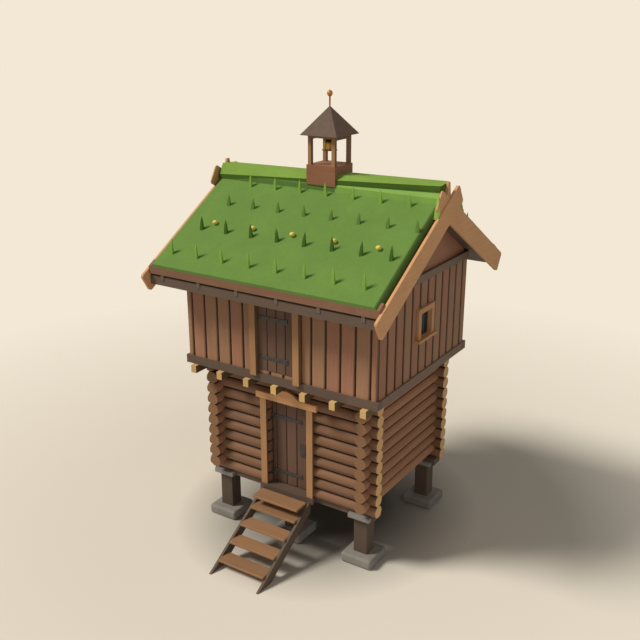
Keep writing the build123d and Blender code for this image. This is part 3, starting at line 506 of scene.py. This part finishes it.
def eased_box_template():
    """Corners and faces of a box whose twelve edges are chamfered: each corner has one point on each
    of its three faces, so a box has 24 points, 6 sides, 12 edge strips and 8 corner triangles."""
    corners = np.array([(x, y, z) for x in (0, 1) for y in (0, 1) for z in (0, 1)])
    point = {(tuple(c), k): i * 3 + k for i, c in enumerate(corners) for k in range(3)}
    faces = []
    for k in range(3):
        a, b = [i for i in range(3) if i != k]
        for side in (0, 1):
            ring = []
            for u, v in ((0, 0), (1, 0), (1, 1), (0, 1)):
                c = [0, 0, 0]
                c[k], c[a], c[b] = side, u, v
                ring.append(point[tuple(c), k])
            faces.append(ring)
    for m in range(3):
        a, b = [i for i in range(3) if i != m]
        for u in (0, 1):
            for v in (0, 1):
                ends = []
                for w in (0, 1):
                    c = [0, 0, 0]
                    c[a], c[b], c[m] = u, v, w
                    ends.append((point[tuple(c), a], point[tuple(c), b]))
                faces.append([ends[0][0], ends[0][1], ends[1][1], ends[1][0]])
    faces += [[point[tuple(c), k] for k in range(3)] for c in corners]
    place = np.array([[c[a] if a == k else 0.2 + 0.6 * c[a] for a in range(3)]
                      for c in corners for k in range(3)])
    outward = []
    for face in faces:
        p = place[face]
        out = np.cross(p[1] - p[0], p[2] - p[0]) @ (p.mean(0) - 0.5)
        outward.append(face if out > 0 else face[::-1])
    return corners, outward


CORNERS, BOX_FACES = eased_box_template()


def boards(name, lows, highs, ease, finish, body, **kw):
    """Many eased boxes in one mesh. Each point is its corner, drawn in by the ease along the two axes
    of the face that it isn't on."""
    lows, highs = np.asarray(lows, float), np.asarray(highs, float)
    corner = lows[:, None, :] + CORNERS[None] * (highs - lows)[:, None, :]
    inset = (1.0 - 2.0 * CORNERS)[:, None, :] * (1.0 - np.eye(3))[None] * ease
    verts = (corner[:, :, None, :] + inset[None]).reshape(-1, 3)
    faces = [[i + 24 * n for i in f] for n in range(len(lows)) for f in BOX_FACES]
    return solid(name, verts, faces, finish, body, **kw)


def staves(name, lows, highs, axis, sign, ease, finish, cut=None, **kw):
    """Upright wall boards in one mesh, each one section carried straight up. The section is square at
    the wall; at the face each edge is a quarter circle, (ease - ease cos a, t - ease + ease sin a)
    for a board of thickness t, clipped to the wall. axis and sign say which way the boards face;
    cut, if given, moves the points of the finished boards."""
    lows, highs = np.asarray(lows, float), np.asarray(highs, float)
    along = 1 - axis
    angle = np.linspace(0, np.pi / 2, 5)
    thick = (highs - lows)[0, axis]
    rise = np.maximum(thick - ease + ease * np.sin(angle), 0.002)
    inward = ease * (1 - np.cos(angle))
    out = np.concatenate([[0], rise, rise[::-1], [0]])
    near = np.concatenate([[0], inward, -inward[::-1], [0]])
    right = np.concatenate([np.zeros(6), np.ones(6)])
    ring = np.zeros((len(lows), 12, 3))
    ring[..., along] = lows[:, None, along] + right * (highs - lows)[:, None, along] + near
    ring[..., axis] = (lows[0, axis] if sign > 0 else highs[0, axis]) + sign * out
    if (axis == 1) == (sign > 0):
        ring = ring[:, ::-1]
    verts = np.stack([ring, ring], 1)
    verts[:, 0, :, 2], verts[:, 1, :, 2] = lows[:, None, 2], highs[:, None, 2]
    verts = verts.reshape(-1, 3)
    if cut is not None:
        verts = cut(verts)
    i = np.arange(12)
    j = (i + 1) % 12
    wall = np.stack([i, j, j + 12, i + 12], -1).tolist()
    faces = [[k + 24 * n for k in f] for n in range(len(lows)) for f in wall + [list(i[::-1]), list(i + 12)]]
    return solid(name, verts, faces, finish, HOUSE, **kw)


def turned(profile, segments):
    """Points and faces of a shape turned about an upright axis: radius and height pairs swept round
    in even steps, closed at both poles."""
    profile = np.asarray(profile, float)
    angle = np.linspace(0, 2 * np.pi, segments, endpoint=False)
    ring = profile[1:-1]
    xy = np.stack([np.cos(angle), np.sin(angle)], -1)
    pts = np.concatenate([ring[:, None, :1] * xy[None], np.repeat(ring[:, None, 1:], segments, 1)], -1)
    pts = np.vstack([pts.reshape(-1, 3), [0, 0, profile[0, 1]], [0, 0, profile[-1, 1]]])
    rows, base = len(ring), len(ring) * segments
    i = np.arange(segments)
    j = (i + 1) % segments
    faces = [[r * segments + a, r * segments + b, (r + 1) * segments + b, (r + 1) * segments + a]
             for r in range(rows - 1) for a, b in zip(i, j)]
    faces += [[base, b, a] for a, b in zip(i, j)]
    top = (rows - 1) * segments
    faces += [[top + a, top + b, base + 1] for a, b in zip(i, j)]
    return pts, faces


def gather(parts):
    """Joins several (points, faces) pairs into one."""
    verts, faces, start = [], [], 0
    for v, f in parts:
        verts.append(v)
        faces += [[i + start for i in face] for face in f]
        start += len(v)
    return np.vstack(verts), faces


# ---------------------------------------------------------------- floor, light and camera
FLOOR_HALF = 24.0
FADE_START, FADE_LENGTH = 5.0, 10.0  # the floor turns clear over this stretch, so its rim doesn't show
SHADE_X, SHADE_Y = 2.3, 2.5  # half sizes of the oval of painted shade under the house
SHADE_START, SHADE_LENGTH = 0.45, 0.90  # where the shade starts to thin out, as a share of the oval
KEY_WAY = (0.62, 0.50, -0.86)
FILL_PLACE = (13.0, MID_Y - 9.0, 8.0)
FILL_AIM = (0, MID_Y, 3.5)
VIEW_PLACE = (8.6653, MID_Y - 13.7841, 9.8796)
VIEW_DOWN, VIEW_TURN = 19.324, 32.785
LENS = 49.1147  # millimetres, on a sensor 36 wide


def pale_world():
    """A dim room light for the object, and plain cream where the camera and reflections see past it."""
    world = bpy.data.worlds.new("Pale room")
    world.use_nodes = True
    tree = world.node_tree
    room = tree.nodes["Background"]
    room.inputs["Color"].default_value = (*linear(240, 232, 220), 1)
    room.inputs["Strength"].default_value = 0.205
    cream = add_node(tree, "ShaderNodeBackground", None, {"Color": (*linear(243, 232, 213), 1)})
    ray = add_node(tree, "ShaderNodeLightPath", output="Is Camera Ray")
    seen = ray.larger(ray.beside("Is Glossy Ray")).larger(ray.beside("Is Transmission Ray"))
    choice = add_node(tree, "ShaderNodeMixShader", None, {0: seen, 1: Wire(tree, room.outputs[0]), 2: cream})
    tree.links.new(choice.socket, tree.nodes["World Output"].inputs[0])
    return world


def floor_finish():
    """The pale floor: clear far out, with a painted shade where the house keeps the light of the room off it.
    """
    pale = linear(245, 241, 231)
    f = Finish("Pale floor", pale, 0.95)
    f.shader.inputs["Specular IOR Level"].default_value = 0.0
    x, y, z = f.place()
    away = (((x * x + y * y).root() - FADE_START) / FADE_LENGTH).clamp()
    u, v = x / SHADE_X, y / SHADE_Y
    open_air = (((u * u + v * v).root() - SHADE_START) / SHADE_LENGTH).clamp()
    f.set("Base Color", f.mix(open_air, linear(104, 106, 103), pale))
    clear = f.node("ShaderNodeBsdfTransparent")
    blend = f.node("ShaderNodeMixShader", None, {0: away, 1: Wire(f.tree, f.shader.outputs[0]), 2: clear})
    f.tree.links.new(blend.socket, f.tree.nodes["Material Output"].inputs[0])
    return f


def look(way):
    """The rotation of a lamp that shines along a direction."""
    return Vector(way).to_track_quat("-Z", "Y").to_euler()


class GRANARY_OT_stage(bpy.types.Operator):
    """Lays the pale floor and sets the lamps, the world and the camera"""

    bl_idname = "granary.stage"
    bl_label = "Floor, light and camera"

    def execute(self, context):
        scene = context.scene
        scene.world = pale_world()
        mesh = bpy.data.meshes.new("floor")
        corners = [(x * FLOOR_HALF, y * FLOOR_HALF, 0) for x, y in ((-1, -1), (1, -1), (1, 1), (-1, 1))]
        mesh.from_pydata(corners, [], [(0, 1, 2, 3)])
        mesh.materials.append(floor_finish().material)
        add_object("floor", mesh)

        sun = bpy.data.lights.new("Key", "SUN")
        sun.energy = 2.54
        sun.angle = 0.30
        sun.color = linear(255, 246, 232)
        add_object("Key", sun, rotation=look(KEY_WAY))
        fill = bpy.data.lights.new("Fill", "AREA")
        fill.energy = 235
        fill.size = 9.0
        fill.color = linear(250, 248, 244)
        add_object("Fill", fill, FILL_PLACE, look(Vector(FILL_AIM) - Vector(FILL_PLACE)))

        lens = bpy.data.cameras.new("View")
        lens.lens = LENS
        lens.sensor_width = 36
        turn = np.radians((90 - VIEW_DOWN, 0, VIEW_TURN))
        scene.camera = add_object("View", lens, VIEW_PLACE, turn)
        scene.view_settings.view_transform = "Standard"
        return {"FINISHED"}


# ---------------------------------------------------------------- stones, posts and logs
class GRANARY_OT_ground(bpy.types.Operator):
    """Finishes the base stones, the cap stones, the posts, the bearers and the floors"""

    bl_idname = "granary.ground"
    bl_label = "Stones and posts"

    def execute(self, context):
        timber = context.scene.granary_timber
        dress(stone("Dressed stone", linear(140, 137, 133)), "base_stones", "cap_stones")
        dress(wood("Tarred posts", times(timber.beam_color, 0.75), "z", spread=0.2), "posts")
        dress(wood("Tarred bearers", timber.beam_color, "x", spread=0.2), "bearers", "threshold")
        dress(wood("Floor planks", context.scene.granary_boarding.color, "y", number=count_along("x", 0.18)),
              "ground_floor", "upper_floor")
        return {"FINISHED"}


class GRANARY_OT_logs(bpy.types.Operator):
    """Finishes the log walls: weathered sides and ringed ends"""

    bl_idname = "granary.logs"
    bl_label = "Log walls"

    def execute(self, context):
        timber = context.scene.granary_timber
        # The front logs take a darker copy of the log colour and the side logs a lighter one: painted shade and
        # painted light for the way each wall faces the lamps.
        front = log_finish("Front logs", times(timber.log_color, 0.88), timber.end_color, "x", abs(LOG_Y),
                           FIRST_FRONT_LOG, 1.45)
        side = log_finish("Side logs", times(timber.log_color, 1.38), timber.shaded_end_color, "y",
                          abs(LOG_X), FIRST_FRONT_LOG + COURSE / 2, 1.0)
        dress(front, "front_wall_left", "front_wall_right", "front_wall_over_door", "back_log_wall")
        dress(side, "left_log_wall", "right_log_wall")
        return {"FINISHED"}


# ---------------------------------------------------------------- boards of the upper storey
TALL = 9.0  # higher than the roof: under_roof cuts such a board to its length
BAY_POST_WIDTH = 0.135
WINDOW_HORN = 0.050  # how far the window's sill board stands out past its frame
NARROWEST = 0.03  # no board is narrower
ROOF_CLEARANCE = 0.004
DOOR_CLEARANCE = 0.002


def wall_cells(pitch, shift, half, gap):
    """Low and high edges of boards between -half and half, half a gap in from each joint; the joints
    stand one pitch apart, counted from the shift."""
    count = int(half / pitch) + 2
    joint = shift + pitch * np.arange(-count, count + 1)
    edge = np.concatenate([[-half], joint[abs(joint) < half - 0.05], [half]])
    return zip(edge[:-1] + gap / 2, edge[1:] - gap / 2)


def front_boards(s):
    """Low and high corners of the boards of the front wall, which stop beside the bay posts; between
    the posts they reach up to the upper door."""
    bay = high("bay_posts")[0]
    inner = bay - BAY_POST_WIDTH
    door_foot = low("upper_door")[2] - DOOR_CLEARANCE
    spans = []
    for a, b in wall_cells(s.pitch, s.pitch / 2, WALL_X + s.thickness, s.gap):
        if b > -bay and a < bay:
            spans += [(a, min(b, -bay), TALL), (max(a, bay), b, TALL),
                      (max(a, -inner), min(b, inner), door_foot)]
        else:
            spans.append((a, b, TALL))
    spans = [span for span in spans if span[1] - span[0] >= NARROWEST]
    lows = [(a, -WALL_Y - s.thickness, WALL_FOOT) for a, b, top in spans]
    return lows, [(b, -WALL_Y, top) for a, b, top in spans]


def back_boards(s):
    """Low and high corners of the boards of the back wall."""
    spans = list(wall_cells(s.pitch, s.pitch / 2, WALL_X + s.thickness, s.gap))
    return [(a, WALL_Y, WALL_FOOT) for a, b in spans], [(b, WALL_Y + s.thickness, TALL) for a, b in spans]


def end_boards(s, sign):
    """Low and high corners of the boards of an end wall, which stop round the window frame."""
    frame_lo, frame_hi = low("window_frames"), high("window_frames")
    left, right = frame_lo[1] + WINDOW_HORN, frame_hi[1] - WINDOW_HORN
    near, far = sorted((sign * WALL_X, sign * (WALL_X + s.thickness)))
    spans = []
    for a, b in wall_cells(s.pitch, s.end_shift, WALL_Y, s.gap * 1.7):
        if b > left and a < right:
            spans += [(a, b, WALL_FOOT, frame_lo[2]), (a, b, frame_hi[2], SIDE_WALL_TOP),
                      (a, min(b, left), frame_lo[2], frame_hi[2]), (max(a, right), b, frame_lo[2], frame_hi[2])]
        else:
            spans.append((a, b, WALL_FOOT, SIDE_WALL_TOP))
    spans = [span for span in spans if span[1] - span[0] >= NARROWEST]
    return [(near, a, foot) for a, b, foot, top in spans], [(far, b, top) for a, b, foot, top in spans]


def under_roof(verts):
    """Cuts upright boards to the soffit: no point stands higher than the slope above it."""
    verts = verts.copy()
    verts[:, 2] = np.minimum(verts[:, 2], SOFFIT_PEAK - ROOF_CLEARANCE - ROOF_TAN * np.abs(verts[:, 1]))
    return verts


class GRANARY_OT_boarding(bpy.types.Operator):
    """Hangs the upright boards on the four walls of the upper storey"""

    bl_idname = "granary.boarding"
    bl_label = "Wall boards"

    def execute(self, context):
        s = context.scene.granary_boarding
        # Faces of the front and back boards that look along X get a painted shade.
        front = wood("Wall boards front", s.color, "z", spread=0.06, second=s.second_color, side="x",
                     side_shade=0.46, number=lambda x, y, z: (x / s.pitch + 0.5).floor() + (y > 0.0) * 31.0)
        staves("front_wall_boards", *front_boards(s), 1, -1, s.ease, front, under_roof, slot="board_wood")
        staves("back_wall_boards", *back_boards(s), 1, 1, s.ease, front, under_roof, slot="board_wood")
        # The end walls take darker copies of both board colours, a painted shade, and faces that look along Y
        # get more painted shade.
        ends = wood("Wall boards ends", times(s.color, 0.82), "z", spread=0.06,
                    second=times(s.second_color, 0.82), side="y", side_shade=0.3,
                    number=lambda x, y, z: ((y - s.end_shift) / s.pitch).floor() + (x > 0.0) * 53.0)
        for name, sign in (("left_wall_boards", -1), ("right_wall_boards", 1)):
            staves(name, *end_boards(s, sign), 0, sign, s.ease, ends, slot="board_wood")
        # The core behind the boards is nearly black: a painted shade seen in the gaps between the boards.
        shade = wood("Wall core shade", times(s.color, 0.2), "z")
        dress(shade, "upper_front_wall", "upper_back_wall", "upper_left_wall", "upper_right_wall")
        gable = wood("Gable boards", s.color, "y", number=count_along("z", 0.2), spread=0.06)
        dress(gable, "gable_panels")
        return {"FINISHED"}


# ---------------------------------------------------------------- doors
PLANK = 0.238  # width of a plank of the lower door
UPPER_PLANKS = 4
PLANK_GAP, PLANK_EASE = 0.013, 0.010
STRAP_THICKNESS, STRAP_EASE = 0.012, 0.003
LOWER_STRAP_HALF = 0.035
LOWER_NAILS_X = (-0.38, -0.2, 0.0, 0.2)
UPPER_STRAPS_UP = (0.265, 1.035)  # above the foot of the upper door
UPPER_STRAP_INSET, UPPER_STRAP_END, UPPER_STRAP_HALF = 0.022, 0.200, 0.034
PLATE_START, PLATE_END, PLATE_HALF = 0.196, 0.262, 0.052  # the wider end of an upper strap
UPPER_NAILS_X = (-0.32, -0.12, 0.08, 0.23)
NAIL = 0.014  # radius of a nail's head


def plank_row(name, finish, body, lo, hi, joints, **kw):
    """Upright planks side by side between two corners, split at the given places along X."""
    starts = np.array([lo[0], *(joints + PLANK_GAP / 2)])
    ends = np.array([*(joints - PLANK_GAP / 2), hi[0]])
    lows = [(x, lo[1], lo[2]) for x in starts]
    highs = [(x, hi[1], hi[2]) for x in ends]
    return boards(name, lows, highs, PLANK_EASE, finish, body, **kw)


def nail_heads(places):
    """Low domes on a face that looks along -Y: each is a turned cap laid over on its side."""
    parts = []
    profile = [(0, -0.001), (NAIL, -0.001), (NAIL * 0.92, NAIL * 0.3), (NAIL * 0.55, NAIL * 0.55),
               (0, NAIL * 0.62)]
    for place in places:
        v, f = turned(profile, 10)
        parts.append((np.stack([v[:, 0], -v[:, 2], v[:, 1]], -1) + place, f))
    return gather(parts)


def upper_straps(corner):
    """Low and high corners of the two straps of the upper door, each with a wider plate at its end,
    and the places of their nails, from the low corner of the door."""
    left, front, foot = corner
    face = front - STRAP_THICKNESS
    lows, highs, nails = [], [], []
    strap = (left + UPPER_STRAP_INSET, UPPER_STRAP_END, UPPER_STRAP_HALF)
    for z in (foot + up for up in UPPER_STRAPS_UP):
        for start, end, half in (strap, (PLATE_START, PLATE_END, PLATE_HALF)):
            lows.append((start, face, z - half))
            highs.append((end, front, z + half))
        nails += [(x, face, z) for x in UPPER_NAILS_X]
    return lows, highs, nails


class GRANARY_OT_doors(bpy.types.Operator):
    """Makes the planks, straps and nails of the two doors, and finishes casing, posts and lock"""

    bl_idname = "granary.doors"
    bl_label = "Doors"

    def execute(self, context):
        s, trim = context.scene.granary_boarding, context.scene.granary_timber.trim_color
        iron = metal("Forged iron", linear(66, 68, 70), 0.6, 0.55, linear(88, 84, 80))
        self.lower_door(s, iron)
        self.upper_door(s, iron)
        dress(iron, "door_straps", "door_lock", "door_pintles")
        # Sides of the jambs, bay posts and turret frame that look along X get a painted shade.
        dress(wood("Light uprights", times(trim, 0.94), "z", number=lambda x, y, z: (x * 1.7).floor(),
                   spread=0.1, side="x", side_shade=0.42), "door_jambs", "bay_posts", "turret_frame")
        dress(wood("Window casing", times(trim, 1.25), "z", number=lambda x, y, z: (y * 1.7).floor(),
                   spread=0.1), "window_frames")
        dress(wood("Light rails", times(trim, 1.6), "x", spread=0.1), "door_lintel", "bell_yoke")
        return {"FINISHED"}

    def lower_door(self, s, iron):
        """Five planks and the nails of the two straps, all on the swinging leaf."""
        lo, hi = low("door_leaf"), high("door_leaf")
        finish = wood("Door planks", s.door_color, "z", number=count_along("x", PLANK, 0.5), spread=0.2)
        joints = PLANK * np.array([-1.5, -0.5, 0.5, 1.5])
        leaf = plank_row("lower_door_planks", finish, DOOR, lo, hi, joints, slot="board_wood")
        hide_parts("door_leaf")
        heights = low("door_straps")[2] + LOWER_STRAP_HALF, high("door_straps")[2] - LOWER_STRAP_HALF
        nails = [(x, lo[1] - STRAP_THICKNESS, z) for z in heights for x in LOWER_NAILS_X]
        solid("lower_door_nails", *nail_heads(nails), iron, DOOR, smooth=True, slot="iron")

    def upper_door(self, s, iron):
        """Four planks, two straps and their nails. This door doesn't move."""
        lo, hi = low("upper_door"), high("upper_door")
        finish = wood("Upper door planks", s.door_color, "z", number=lambda x, y, z: (x / 0.2).floor() + 11.0,
                      spread=0.2)
        joints = np.linspace(lo[0], hi[0], UPPER_PLANKS + 1)[1:-1]
        leaf = plank_row("upper_door_planks", finish, HOUSE, lo, hi, joints, slot="board_wood")
        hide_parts("upper_door")
        lows, highs, nails = upper_straps(lo)
        boards("upper_door_straps", lows, highs, STRAP_EASE, iron, HOUSE, slot="iron")
        solid("upper_door_nails", *nail_heads(nails), iron, HOUSE, smooth=True, slot="iron")


# ---------------------------------------------------------------- beams and roof
class GRANARY_OT_beams(bpy.types.Operator):
    """Finishes joists, sills, tie beams, ridge beam and window"""

    bl_idname = "granary.beams"
    bl_label = "Beams and window"

    def execute(self, context):
        beam = context.scene.granary_timber.beam_color
        # Sides of the joists that look along X get a deep painted shade.
        dress(wood("Pale joists", linear(222, 184, 122), "y", number=count_along("x", JOIST_SPACING, 0.5),
                   spread=0.08, side="x", side_shade=0.16), "joists")
        # The beams across take a lighter copy of the beam colour than the beams along: painted light on the
        # faces that look to the sides.
        dress(wood("Dark beams along", times(beam, 1.05), "x"), "long_sills", "ridge_beam")
        dress(wood("Dark beams across", times(beam, 1.5), "y"), "end_sills", "tie_beams")
        dress(pane_finish(), "window_glass")
        return {"FINISHED"}


class GRANARY_OT_roof(bpy.types.Operator):
    """Finishes roof deck, turf, turf logs and the crossed verge boards"""

    bl_idname = "granary.roof"
    bl_label = "Roof"

    def execute(self, context):
        timber, turf = context.scene.granary_timber, context.scene.granary_turf
        dress(wood("Dark eaves", timber.beam_color, "x", number=count_along("y", 0.3)), "front_roof_deck",
              "back_roof_deck")
        # The turf's edge colour is a painted shade on its upright faces and rounded ends; its lap colour is a
        # painted light on the step at the ridge.
        dress(grass("Turf", turf.color, edge=linear(104, 140, 72), lap_light=linear(152, 196, 100)),
              "front_turf", "back_turf")
        # The edge colour of the ridge turf is a painted shade on its upright front face.
        dress(grass("Ridge turf", linear(140, 180, 86), edge=linear(84, 118, 44)), "ridge_cap")
        dress(wood("Turf logs", linear(140, 102, 78), "x", spread=0.1), "turf_logs")
        dress(wood("Log hooks", linear(112, 100, 88), "y", spread=0.1), "turf_log_hooks")
        dress(wood("Verge boards", times(timber.trim_color, 1.6), "y", spread=0.05, across=22.0),
              "front_verge_boards", "back_verge_boards", "ridge_stops")
        return {"FINISHED"}


# ---------------------------------------------------------------- grass and flowers
# distance from the ridge, first place along X, step, number, shade, share of the full height
TUFT_ROWS = ((0.40, -1.555, 0.573, 7, "light", 0.92), (0.89, -1.710, 0.573, 8, "middle", 0.78),
             (1.505, -1.880, 0.575, 8, "dark", 0.95), (2.12, -2.108, 0.586, 8, "light", 1.1))
TUFT_SHADES = {"light": linear(158, 204, 98), "middle": linear(122, 162, 80), "dark": linear(84, 124, 50)}
FOOT_DEPTH = 0.07  # how far a tuft is sunk in the turf
LEAF_X, LEAF_Y = 2.438, -0.41
LEAF_RADIUS, LEAF_STRETCH = 0.045, 2.8
FLOWERS_X = (-1.667, -0.786, 0.083, 0.954, 1.831)
FLOWERS_Y = 1.365
FLOWER_RISE = 0.045  # height of a flower head's middle over the turf


def tuft(x, y, foot, height, radius, lean):
    """A tuft of grass: a thick blade that narrows to a point, four-sided, with its foot sunk in the
    slope, and a short one beside it. A blade is rings of four points round a bent centre line. At the
    share t of its height its half width is (1 - t) to the power 0.7, times 1 + t / 2, times the radius,
    and it has moved aside by the lean times t to the power 1.5."""
    blades = []
    t = np.array([0.0, 0.35, 0.7])
    angle = np.array([0.25, 0.75, 1.25, 1.75]) * np.pi + 0.25
    circle = np.stack([np.cos(angle), np.sin(angle), 0 * angle], -1)
    faces = [[r * 4 + a, r * 4 + (a + 1) % 4, (r + 1) * 4 + (a + 1) % 4, (r + 1) * 4 + a]
             for r in range(2) for a in range(4)]
    faces += [[8 + a, 8 + (a + 1) % 4, 12] for a in range(4)] + [[(a + 1) % 4, a, 13] for a in range(4)]
    for start, h, r, tilt in ((x, height, radius, lean), (x + 0.022, height * 0.36, radius * 0.5, 0.02)):
        width = r * (1 - t) ** 0.7 * (1 + 0.5 * t)
        centre = np.stack([start + tilt * t**1.5, np.full(3, y), foot - FOOT_DEPTH + (h + FOOT_DEPTH) * t], -1)
        rings = centre[:, None, :] + circle[None] * width[:, None, None]
        poles = [[start + tilt, y, foot + h], [start, y, foot - FOOT_DEPTH]]
        blades.append((np.vstack([rings.reshape(-1, 3), poles]), faces))
    return blades


def flower(x, y, z, radius):
    """A flower head: a slightly flat ball whose radius, at the angle a round its axis, is multiplied by
    1 + 0.08 cos 9a, so that it swells and shrinks nine times."""
    up = np.linspace(-np.pi / 2, np.pi / 2, 9)
    pts, faces = turned(np.stack([radius * np.cos(up), radius * 0.85 * np.sin(up)], -1), 18)
    turn = np.arctan2(pts[:, 1], pts[:, 0])
    pts[:, :2] *= (1 + 0.08 * np.cos(9 * turn))[:, None]
    return pts + (x, y, z), faces


class GRANARY_OT_grass(bpy.types.Operator):
    """Sets the grass tufts and the yellow flowers on both slopes, and the leaf at the right verge"""

    bl_idname = "granary.grass"
    bl_label = "Grass and flowers"

    def execute(self, context):
        s = context.scene.granary_turf
        rng = np.random.default_rng(7)
        for shade, color in TUFT_SHADES.items():
            tufts = gather(self.tufts(s, shade, rng))
            solid("grass_" + shade, *tufts, grass("Grass " + shade, color, 0.5, 0.003), HOUSE, slot="turf")
        self.leaf(s)
        heads = [flower(x, y, turf_height(y) + FLOWER_RISE, s.flower_radius)
                 for x in FLOWERS_X for y in (-FLOWERS_Y, FLOWERS_Y)]
        solid("flowers", *gather(heads), petal_finish(), HOUSE, smooth=True, slot="turf")
        return {"FINISHED"}

    def tufts(self, s, shade, rng):
        """The tufts of one shade on both slopes, each with a lean and a height of its own."""
        blades = []
        for away, first, step, count, kind, share in TUFT_ROWS:
            if kind != shade:
                continue
            for y in (-away, away):
                for x in first + step * np.arange(count):
                    lean = rng.uniform(-0.012, 0.03)
                    height = s.tuft_height * share * rng.uniform(0.94, 1.04)
                    blades += tuft(x, y, turf_height(y), height, s.tuft_radius, lean)
        return blades

    def leaf(self, s):
        """One broad leaf at the right verge of the front slope: a blade widened along Y."""
        foot = turf_height(LEAF_Y) - FOOT_DEPTH
        v, f = tuft(LEAF_X, LEAF_Y, foot, s.tuft_height * 1.2, LEAF_RADIUS, 0.0)[0]
        v[:, 1] = LEAF_Y + (v[:, 1] - LEAF_Y) * LEAF_STRETCH
        # The leaf's green is lighter than the tufts': a painted light on a face that the key lamp misses.
        solid("verge_leaf", v, f, grass("Verge leaf", linear(214, 255, 132), 0.3, 0.003), HOUSE, slot="turf")


# ---------------------------------------------------------------- turret and stair
FINIAL_SINK = 0.02  # how far the rod is sunk in the roof's tip
KNOB_PROFILE = ((0.016, 0.118), (0.030, 0.112), (0.046, 0.092), (0.054, 0.066), (0.050, 0.042), (0.034, 0.020),
                (0.014, 0.005), (0, 0))  # radius, and distance below the tip
TREAD_EASE = 0.006


class GRANARY_OT_turret(bpy.types.Operator):
    """Finishes the bell turret, its roof, its finial and the bell"""

    bl_idname = "granary.turret"
    bl_label = "Bell turret"

    def execute(self, context):
        dress(wood("Turret boards", linear(156, 106, 78), "x", number=count_along("z", 0.13), spread=0.06),
              "turret_base")
        dress(wood("Turret roof", linear(93, 71, 59), "z", spread=0.05, across=18.0, contrast=0.15),
              "turret_roof")
        dress(metal("Bell bronze", linear(176, 136, 66), 0.38, 0.85, linear(122, 104, 62), 22.0), "bell")
        foot, top = low("finial")[2] - FINIAL_SINK, high("finial")[2]
        profile = [(0, foot), (0.020, foot), (0.016, foot + 0.02)] + [(r, top - h) for r, h in KNOB_PROFILE]
        gilt = metal("Gilded knob", linear(204, 140, 62), 0.45, 0.25, linear(170, 108, 44), 30.0, 0.3)
        piece = solid("finial_turning", *turned(profile, 28), gilt, HOUSE, smooth=True, slot="knob")
        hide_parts("finial")
        return {"FINISHED"}


class GRANARY_OT_stair(bpy.types.Operator):
    """Makes the eased treads of the stair and finishes its stringers"""

    bl_idname = "granary.stair"
    bl_label = "Stair"

    def execute(self, context):
        beam = context.scene.granary_timber.beam_color
        dress(wood("Stringers", times(beam, 0.9), "y", spread=0.1), "stair_stringers")
        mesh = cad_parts["stair_treads"].data
        points = np.zeros(len(mesh.vertices) * 3)
        mesh.vertices.foreach_get("co", points)
        points = points.reshape(-1, 3) - CENTRE
        levels = np.unique(np.round(points[:, 2], 3))
        lows, highs = [], []
        for under, over in zip(levels[0::2], levels[1::2]):
            tread = points[(points[:, 2] > under - 0.001) & (points[:, 2] < over + 0.001)]
            lows.append(tread.min(0))
            highs.append(tread.max(0))
        finish = wood("Treads", linear(154, 117, 84), "x", number=count_along("z", 0.2), spread=0.1)
        piece = boards("treads", lows, highs, TREAD_EASE, finish, HOUSE, slot="tread_wood")
        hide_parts("stair_treads")
        return {"FINISHED"}


# ---------------------------------------------------------------- add-on
class GRANARY_PT_panel(bpy.types.Panel):
    """Lists the pieces of the granary in the sidebar"""

    bl_idname = "GRANARY_PT_panel"
    bl_label = "Granary"
    bl_space_type = "VIEW_3D"
    bl_region_type = "UI"
    bl_category = "Granary"

    def draw(self, context):
        layout, scene = self.layout, context.scene
        for group in (scene.granary_boarding, scene.granary_timber, scene.granary_turf):
            box = layout.box()
            for key in group.__annotations__:
                box.prop(group, key)
        for operator in OPERATORS:
            layout.operator(operator.bl_idname)


GROUPS = (BoardingSettings, TimberSettings, TurfSettings)
OPERATORS = (GRANARY_OT_stage, GRANARY_OT_ground, GRANARY_OT_logs, GRANARY_OT_boarding, GRANARY_OT_doors,
             GRANARY_OT_beams, GRANARY_OT_roof, GRANARY_OT_grass, GRANARY_OT_turret, GRANARY_OT_stair)


def register():
    for cls in GROUPS + OPERATORS + (GRANARY_PT_panel,):
        bpy.utils.register_class(cls)
    bpy.types.Scene.granary_boarding = bpy.props.PointerProperty(type=BoardingSettings)
    bpy.types.Scene.granary_timber = bpy.props.PointerProperty(type=TimberSettings)
    bpy.types.Scene.granary_turf = bpy.props.PointerProperty(type=TurfSettings)


def unregister():
    del bpy.types.Scene.granary_boarding
    del bpy.types.Scene.granary_timber
    del bpy.types.Scene.granary_turf
    for cls in reversed(GROUPS + OPERATORS + (GRANARY_PT_panel,)):
        bpy.utils.unregister_class(cls)


def main():
    register()
    bpy.ops.granary.stage()
    bpy.ops.granary.ground()
    bpy.ops.granary.logs()
    bpy.ops.granary.boarding()
    bpy.ops.granary.doors()
    bpy.ops.granary.beams()
    bpy.ops.granary.roof()
    bpy.ops.granary.grass()
    bpy.ops.granary.turret()
    bpy.ops.granary.stair()


if __name__ == "__main__":
    main()
